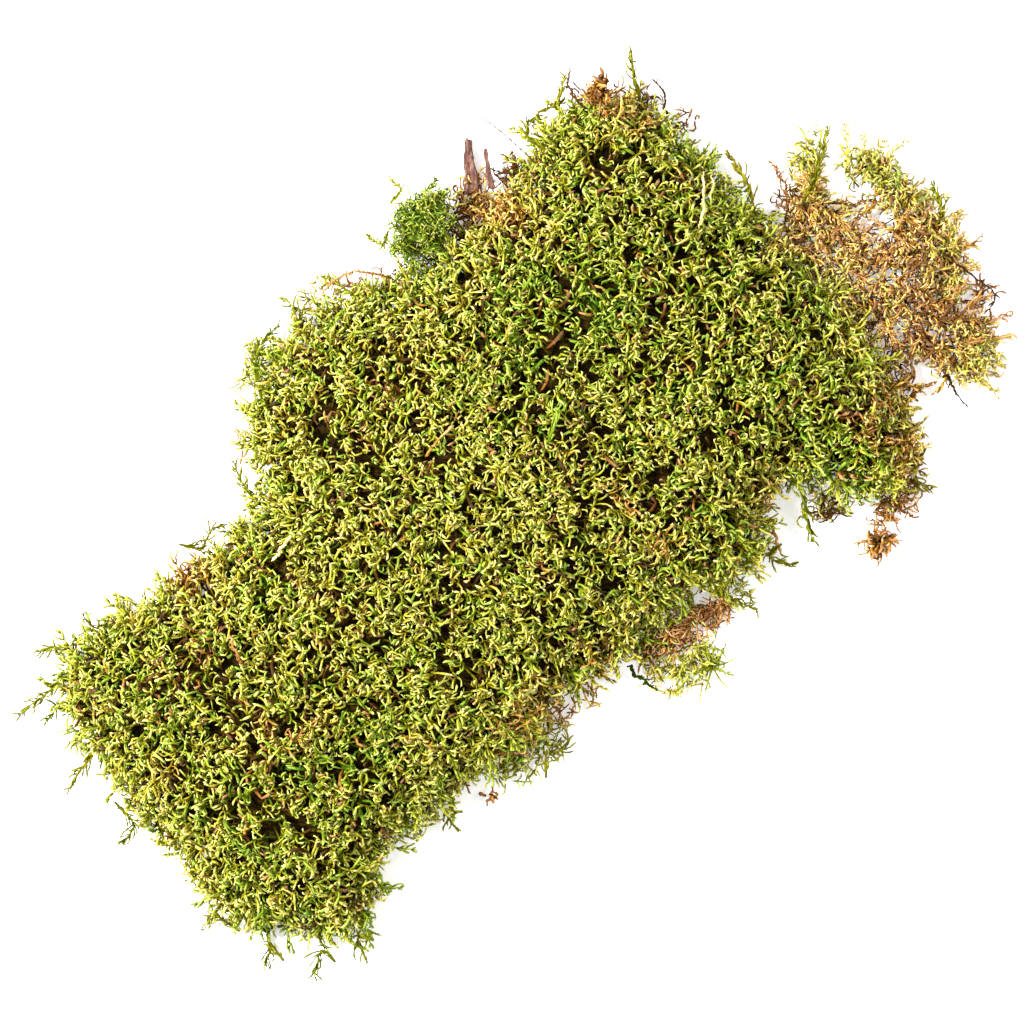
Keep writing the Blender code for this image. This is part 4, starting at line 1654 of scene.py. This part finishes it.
@dataclass(frozen=True)
class Wad:
    """A scrap of dry leaflets: how many there are, how long and wide, how bent, and their tone.

    A fan of 1 spreads them from the middle, and a fan of 0 tangles them.
    """

    node: str
    strands: int
    length: float
    radius: float
    bend: float
    tone: float
    spread: float
    fan: float


WADS = (
    Wad("dry_leaf_scrap", 95, 4.6, 0.42, bend=3.0, tone=0.195, spread=0.05, fan=0.0),
    Wad("tan_husk", 60, 7.0, 0.46, bend=1.9, tone=0.205, spread=0.05, fan=1.0),
    Wad("brown_crumb", 12, 4.2, 0.48, bend=1.6, tone=0.15, spread=0.04, fan=0.3),
    Wad("dark_crumb", 14, 3.6, 0.42, bend=1.6, tone=0.10, spread=0.03, fan=0.3),
)


@dataclass
class Wads:
    """Wads of dry, curled leaflets that fill the outline of their solids."""

    moss: bpy.types.Material
    rings: int = 8
    past_edge: float = 1.25
    seed: int = 97

    def build(self) -> None:
        """Make the wads."""
        for number, wad in enumerate(WADS):
            rng = np.random.default_rng(self.seed + number)
            points = outline_of(wad.node)
            middle, half = points.mean(0), np.ptp(points, axis=0) / 2
            n = wad.strands
            way = unit(rng.normal(0, 1, (n, 3)) * (1, 1, 0.7))
            start = middle + way * half * rng.uniform(0.1, 0.7, (n, 1)) * (1 - 0.6 * wad.fan)
            drift = unit(way + rng.normal(0, 0.9 * (1 - 0.7 * wad.fan), (n, 3)))
            axis = square_to(drift, rng.normal(0, 1, (n, 3)))
            length = wad.length * MM * rng.uniform(0.6, 1.2, n)
            bend = wad.bend * rng.normal(1.0, 0.3, n)
            paths = curled(start, drift, axis, length, bend, self.rings, rng.normal(0, 0.4, n), 0.15)
            paths = middle + np.clip(paths - middle, -self.past_edge * half, self.past_edge * half)
            girth = wad.radius * MM * rng.uniform(0.6, 1.3, n)
            radii = girth[:, None] * Frond.profile(self.rings)
            batch = StrandBatch()
            batch.add(paths, radii, axis, rng.normal(wad.tone, wad.spread, n), (0.3, 0.9))
            lay_down(batch, wad.node + "_leaflets", self.moss, Slot.HUSK, wad.node)


@dataclass
class StarShoot:
    """A bright shoot seen end on: thin arms that spread like a star."""

    moss: bpy.types.Material
    arms: int = 10
    rings: int = 8
    radius: float = 0.38
    tone: float = 0.72
    seed: int = 91

    def build(self) -> None:
        """Make the star."""
        rng = np.random.default_rng(self.seed)
        shape = merged_copy("star_shoot")
        middle = np.mean([vert.co[:] for vert in shape.verts], axis=0)
        shape.free()
        batch = StrandBatch()
        n = self.arms
        turn = np.linspace(0, 2 * math.pi, n, endpoint=False) + rng.normal(0, 0.12, n)
        way = pointing(turn, rng.uniform(0.0, 0.5, n))
        axis = square_to(way, UP)
        length = rng.uniform(6.5, 11.5, n) * MM
        arms = curled(np.tile(middle, (n, 1)), way, axis, length, rng.normal(0, 0.5, n), self.rings)
        radii = self.radius * MM * np.tile(np.linspace(1.1, 0.5, self.rings), (n, 1))
        batch.add(arms, radii, axis, rng.normal(self.tone, 0.04, n), (0.3, 0.62))
        for arm in arms[::4]:
            STAR_FROND.grow(batch, arm, self.tone, rng)
        lay_down(batch, "star_shoot_arms", self.moss, Slot.BRIGHT, "star_shoot")


@dataclass(frozen=True)
class Drift:
    """A drift of loose, curled bits: its middle, radius and height, and their number and look.

    The bits' tones vary by spread; their length and girth are in millimetres, as are the places.
    """

    x: float
    y: float
    radius: float
    height: float
    strands: int
    tone: float
    spread: float = 0.05
    length: float = 5.0
    girth: float = 0.36
    on_top: bool = False

    def floor(self) -> float:
        """The height that it lies on: the ground, or just under the mat's surface."""
        if not self.on_top:
            return 0.0
        above = Vector((self.x * MM, self.y * MM, 1.0))
        hit = surface_tree("moss_mat").ray_cast(above, Vector((0, 0, -1)))[0]
        return hit.z / MM - 1.5 if hit else 0.0


DRIFTS = tuple(Drift(*row) for row in (
    (52, 71, 5, 6, 60, 0.25, 0.10), (52, 64, 6, 7, 60, 0.26, 0.10, 6.0),
    (16, -63, 6, 9, 60, 0.62, 0.07, 6.0), (9, -64, 6, 8, 56, 0.6, 0.07, 6.0),
    (3, -64, 5, 8, 44, 0.62, 0.07, 6.0), (-1, -66, 4, 5, 50, 0.17, 0.04, 4.5), (4, -67, 4.5, 5, 54, 0.18),
    (54, 73, 4, 7.5, 26, 0.36, 0.08, 6.0), (52, 68, 4.5, 9, 36, 0.3, 0.10, 6.0),
    (42, 65, 5, 7, 60, 0.2, 0.13, 5.5), (46, 72, 6, 5, 50, 0.17, 0.07), (62, 65, 6, 8, 64, 0.15, 0.04),
    (68, 70, 4.5, 5, 24, 0.09, 0.03), (33, 68, 5, 4, 36, 0.1, 0.03),
    (28, 66, 6, 7, 190, 0.8, 0.05, 3.0, 0.29), (8, -69, 6, 4, 50, 0.2), (15, -71, 6, 4, 50, 0.24),
    (22, -72, 5, 4, 30, 0.2), (27, -73, 4, 3, 14, 0.26), (6, -76, 6, 4, 60, 0.6, 0.07, 6.0),
    (-1, -71, 4, 3, 16, 0.6, 0.06), (12, -79, 4, 4, 44, 0.64, 0.07, 6.0), (98, 70, 4, 6, 26, 0.13),
    (105, 64, 5, 8, 34, 0.2, 0.08), (112, 57, 4, 6, 22, 0.15, 0.06), (116, 46, 4, 5, 20, 0.17, 0.06),
    (-86, 42, 5, 6, 44, 0.15, 0.06), (90, -82, 6, 4, 64, 0.2), (84, -84, 4, 3, 22, 0.23),
    (95, -80, 4, 6, 26, 0.2), (70, -71, 4, 5, 28, 0.09, 0.03), (13, 71, 5, 6, 32, 0.16),
    (20, 68, 4, 6, 22, 0.14, 0.04), (8, 75, 3, 4, 12, 0.18, 0.04), (148, -54, 4, 3, 30, 0.16),
    (141, -60, 4, 4, 18, 0.25), (-51, -65, 6, 7, 46, 0.64, 0.07, 6.0),
    (-43, -66, 5, 6, 40, 0.62, 0.07, 6.0), (-56, -64, 5, 6, 34, 0.64, 0.07, 6.0),
    (-38, -66, 4, 5, 24, 0.56, 0.08), (-24, -64, 4, 5, 22, 0.3, 0.07), (-32, -62, 4, 5, 20, 0.28, 0.06),
    (-1, -78, 5, 3, 30, 0.56, 0.09, 6.0), (6, -81, 5, 3, 30, 0.6, 0.08, 6.0),
    (-3, -73, 4, 3, 16, 0.5, 0.08, 6.0), (26, -71, 4, 5, 20, 0.26, 0.06), (21, -71, 3.5, 4, 16, 0.3),
    (33, -70, 5, 7, 40, 0.64, 0.07, 6.0), (49, -67, 4, 6, 24, 0.5, 0.10),
    (-29, 80, 5, 7, 40, 0.64, 0.06, 6.0), (-34, 76, 4, 6, 24, 0.62, 0.06, 6.0),
    (-2, 81, 5, 6, 36, 0.42, 0.14), (-47, 62, 3.5, 5, 16, 0.3, 0.10),
    (-146, 30, 4, 5, 20, 0.68, 0.06, 6.0), (68, -68, 5, 5, 26, 0.5, 0.12, 6.0),
    (76, -73, 5, 5, 30, 0.6, 0.10, 6.0), (81, -84, 4, 4, 26, 0.2), (111, -57, 5, 10, 54, 0.21, 0.07),
    (115, -50, 4, 8, 30, 0.17, 0.06), (101, -71, 5, 9, 44, 0.22, 0.07), (-37, -59, 5, 11, 30, 0.25, 0.07),
))
PATCHES = tuple(Drift(*row, girth=0.34, on_top=True) for row in (
    (102, -56, 4.5, 4, 22, 0.2), (96, -59, 4.5, 4, 26, 0.23), (92, -63, 4, 4, 14, 0.27),
    (97, -72, 4.5, 4, 30, 0.19), (92, -75, 4, 4, 18, 0.24, 0.06), (90, -82, 4, 4, 20, 0.2),
    (102, 60, 5, 4, 26, 0.22, 0.07), (103, 54, 4, 4, 14, 0.28, 0.07, 6.0),
    (98, 60, 3.5, 3, 10, 0.12, 0.04), (75, 21, 3.5, 3, 9, 0.2), (59, 61, 4.5, 4, 24, 0.2, 0.05, 4.5),
    (54, 58, 4, 3, 12, 0.24, 0.06), (-6, 43, 3.5, 3, 9, 0.14), (-99, 25, 5, 3, 16, 0.14),
    (-90, 42, 5, 4, 22, 0.17, 0.05, 4.5), (2, 33, 3.5, 3, 22, 0.8, 0.05, 3.0),
    (-94, -15, 5, 3, 18, 0.22, 0.06), (-98, -6, 4, 3, 12, 0.2), (24, -45, 4, 3, 14, 0.24, 0.06),
    (23, -22, 3.5, 3, 9, 0.3, 0.05, 6.0), (-5, -25, 3, 3, 7, 0.22, 0.06), (-42, -53, 5, 4, 20, 0.27),
    (-44, -60, 4, 4, 18, 0.3), (-48, -53, 4, 4, 12, 0.24, 0.06), (-121, 22, 4, 3, 10, 0.2),
    (-62, 15, 4, 3, 9, 0.2, 0.06), (-12, 18, 4, 3, 9, 0.14),
))
LOBE_ARM = tuple(Drift(*row) for row in (
    (139.5, 14.5, 3.5, 5, 24, 0.62, 0.06, 6.0), (136, 11.5, 3.5, 6, 34, 0.56, 0.07, 6.0),
    (133.5, 8.5, 3.5, 7, 40, 0.36, 0.08, 6.0), (130.6, 5.5, 3.5, 8, 44, 0.32, 0.06, 6.0),
    (128.3, 1.6, 4, 8, 44, 0.31, 0.07, 6.0), (123, 6, 4.5, 8, 34, 0.14),
    (127, -3, 4, 8, 40, 0.34, 0.08, 6.0), (133, 14, 3, 4, 12, 0.6, 0.05, 6.0),
))


@dataclass
class Litter:
    """Dead, curled bits in drifts, at the foot of the mat or along an arm of the lobe."""

    moss: bpy.types.Material
    name: str = "loose_litter"
    drifts: tuple = DRIFTS
    node: str = "moss_mat"
    seed: int = 101
    rings: int = 6

    def build(self) -> None:
        """Make the litter."""
        rng = np.random.default_rng(self.seed)
        batch = StrandBatch()
        for drift in self.drifts:
            n = drift.strands
            turn = rng.uniform(0, 2 * math.pi, n)
            out = drift.radius * np.sqrt(rng.uniform(0, 1, n))
            height = drift.height * rng.uniform(0.05, 1, n) * (1.1 - out / drift.radius) + drift.floor()
            start = np.stack([drift.x + out * np.cos(turn), drift.y + out * np.sin(turn), height], 1) * MM
            way = unit(rng.normal(0, 1, (n, 3)) * (1, 1, 0.45))
            axis = square_to(way, UP + rng.normal(0, 0.6, (n, 3)))
            length = drift.length * MM * rng.uniform(0.6, 1.3, n)
            bend = rng.normal(0, 2.4, n)
            paths = curled(start, way, axis, length, bend, self.rings, rng.normal(0, 0.4, n), 0.15)
            girth = drift.girth * MM * rng.uniform(0.7, 1.2, n)
            radii = girth[:, None] * Frond.profile(self.rings)
            batch.add(paths, radii, axis, rng.normal(drift.tone, drift.spread, n), (0.3, 0.95))
        lay_down(batch, self.name, self.moss, Slot.BARK, self.node)


# Bark and scraps ----------------------------------------------------------------------------------


@dataclass(frozen=True)
class Scrap:
    """A solid scrap: how finely it is cut up, and its ridges, pits and ragged ends in millimetres."""

    node: str
    cuts: int
    ridge: float
    ridge_width: float
    pits: float
    ragged: float
    turn: float = math.radians(42)


SCRAPS = (
    Scrap("bark_chip", cuts=11, ridge=0.55, ridge_width=1.0, pits=0.45, ragged=0.7),
    Scrap("bark_splinter", cuts=7, ridge=0.35, ridge_width=0.8, pits=0.2, ragged=0.5),
)


@dataclass
class Scraps:
    """The split pieces of bark."""

    bark: bpy.types.Material

    def build(self) -> None:
        """Make the scraps."""
        for number, scrap in enumerate(SCRAPS):
            shape = merged_copy(scrap.node)
            bmesh.ops.subdivide_edges(shape, edges=shape.edges[:], cuts=scrap.cuts, use_grid_fill=True)
            bmesh.ops.triangulate(shape, faces=shape.faces[:])
            shape.normal_update()
            moves = [self._move(vert, scrap, 7.3 * number) for vert in shape.verts]
            for vert, move in zip(shape.verts, moves):
                vert.co += move
            mesh = mesh_from(shape, scrap.node + "_rugged")
            rest_on_ground(mesh, floor=0.1, soft=0.8)
            mesh.materials.append(self.bark)
            settle(new_object(mesh.name, mesh), Slot.BARK, scrap.node)

    @staticmethod
    def _move(vert: bmesh.types.BMVert, scrap: Scrap, salt: float) -> Vector:
        """How far a point of a scrap moves: long ridges, pits and a torn outline."""
        place = vert.co / MM
        cosine, sine = math.cos(scrap.turn), math.sin(scrap.turn)
        across = place.x * cosine - place.y * sine
        along = place.x * sine + place.y * cosine
        ridged = noise.noise(Vector((across / scrap.ridge_width, along / 7.0, place.z / 3.0 + salt)))
        pit = noise.noise(place / 1.3 + Vector((salt, 0, 0)))
        tear = noise.noise(Vector((across / 0.9, along / 3.5, salt))) * scrap.ragged
        bumps = vert.normal * (scrap.ridge * ridged + scrap.pits * pit)
        return (bumps + outward(vert.normal) * tear) * MM


# The stage ----------------------------------------------------------------------------------------


@dataclass(frozen=True)
class Lamp:
    """A square lamp that shines at the clump: place and size in metres, power in watts."""

    name: str
    place: tuple
    size: float
    power: float


@dataclass
class Stage:
    """A plain pale floor, soft lights and a camera that looks straight down."""

    view_turn: float = -42.0
    centre: tuple = (-0.0023, -0.0075)
    lens: float = 120.0
    distance: float = 1.024
    look_height: float = 0.015
    floor_reach: float = 3.0
    floor_gap: float = 0.2
    floor_glow: float = 0.36
    lamps: tuple = (Lamp("key", (-0.55, 0.75, 1.0), 0.30, 54.0), Lamp("fill", (0.9, -0.5, 1.1), 0.9, 9.0))
    surround: float = 0.66

    def build(self) -> None:
        """Set the stage."""
        self._floor()
        self._lights()
        camera = new_object("camera", bpy.data.cameras.new("camera"))
        camera.data.lens = self.lens
        camera.location = (*self.centre, self.look_height + self.distance)
        camera.rotation_euler = (0.0, 0.0, math.radians(self.view_turn))
        bpy.context.scene.camera = camera
        bpy.context.scene.view_settings.view_transform = "Standard"

    def _floor(self) -> None:
        """Lay the floor."""
        reach = self.floor_reach
        corners = [(-reach, -reach, 0), (reach, -reach, 0), (reach, reach, 0), (-reach, reach, 0)]
        mesh = bpy.data.meshes.new("floor")
        mesh.from_pydata(corners, [], [(0, 1, 2, 3)])
        material, graph = new_material("floor")
        graph.feed_shader({
            "Base Color": (0.93, 0.93, 0.93, 1.0), "Roughness": 0.9,
            "Emission Color": (1.0, 1.0, 1.0, 1.0), "Emission Strength": self.floor_glow,
        })
        mesh.materials.append(material)
        floor = new_object("floor", mesh)
        floor.location.z = -self.floor_gap * MM

    def _lights(self) -> None:
        """Hang the lamps and set a pale surround."""
        for lamp in self.lamps:
            data = bpy.data.lights.new(lamp.name, "AREA")
            data.size = lamp.size
            data.energy = lamp.power
            light = new_object(lamp.name, data)
            light.location = lamp.place
            light.rotation_euler = Vector(lamp.place).to_track_quat("Z", "Y").to_euler()
        world = bpy.data.worlds.new("surround")
        world.use_nodes = True
        background = world.node_tree.nodes["Background"]
        background.inputs["Color"].default_value = (1.0, 1.0, 1.0, 1.0)
        background.inputs["Strength"].default_value = self.surround
        bpy.context.scene.world = world


def main() -> None:
    """Build the clump, piece by piece."""
    logging.basicConfig(level=logging.INFO, format="%(name)s %(message)s")
    moss = MossFinish().build()
    sprigs = SprigBox()
    sprigs.build()
    Mat(sprigs, moss, FELT_AND_GAP_SHADE.build()).build()
    DryLobe(sprigs, moss).build()
    BrightTuft(sprigs, moss, TUFT_HEART.build()).build()
    sprigs.clear()
    Shoots(moss).build()
    Stems(moss).build()
    StarShoot(moss).build()
    DeadFrond(moss).build()
    Wads(moss).build()
    Litter(moss).build()
    Litter(moss, "dead_patches", PATCHES, seed=102).build()
    Litter(moss, "lobe_arm_tangle", LOBE_ARM, "dry_moss_lobe", seed=103).build()
    Scraps(SPLIT_BARK.build()).build()
    Stage().build()


if __name__ == "__main__":
    main()
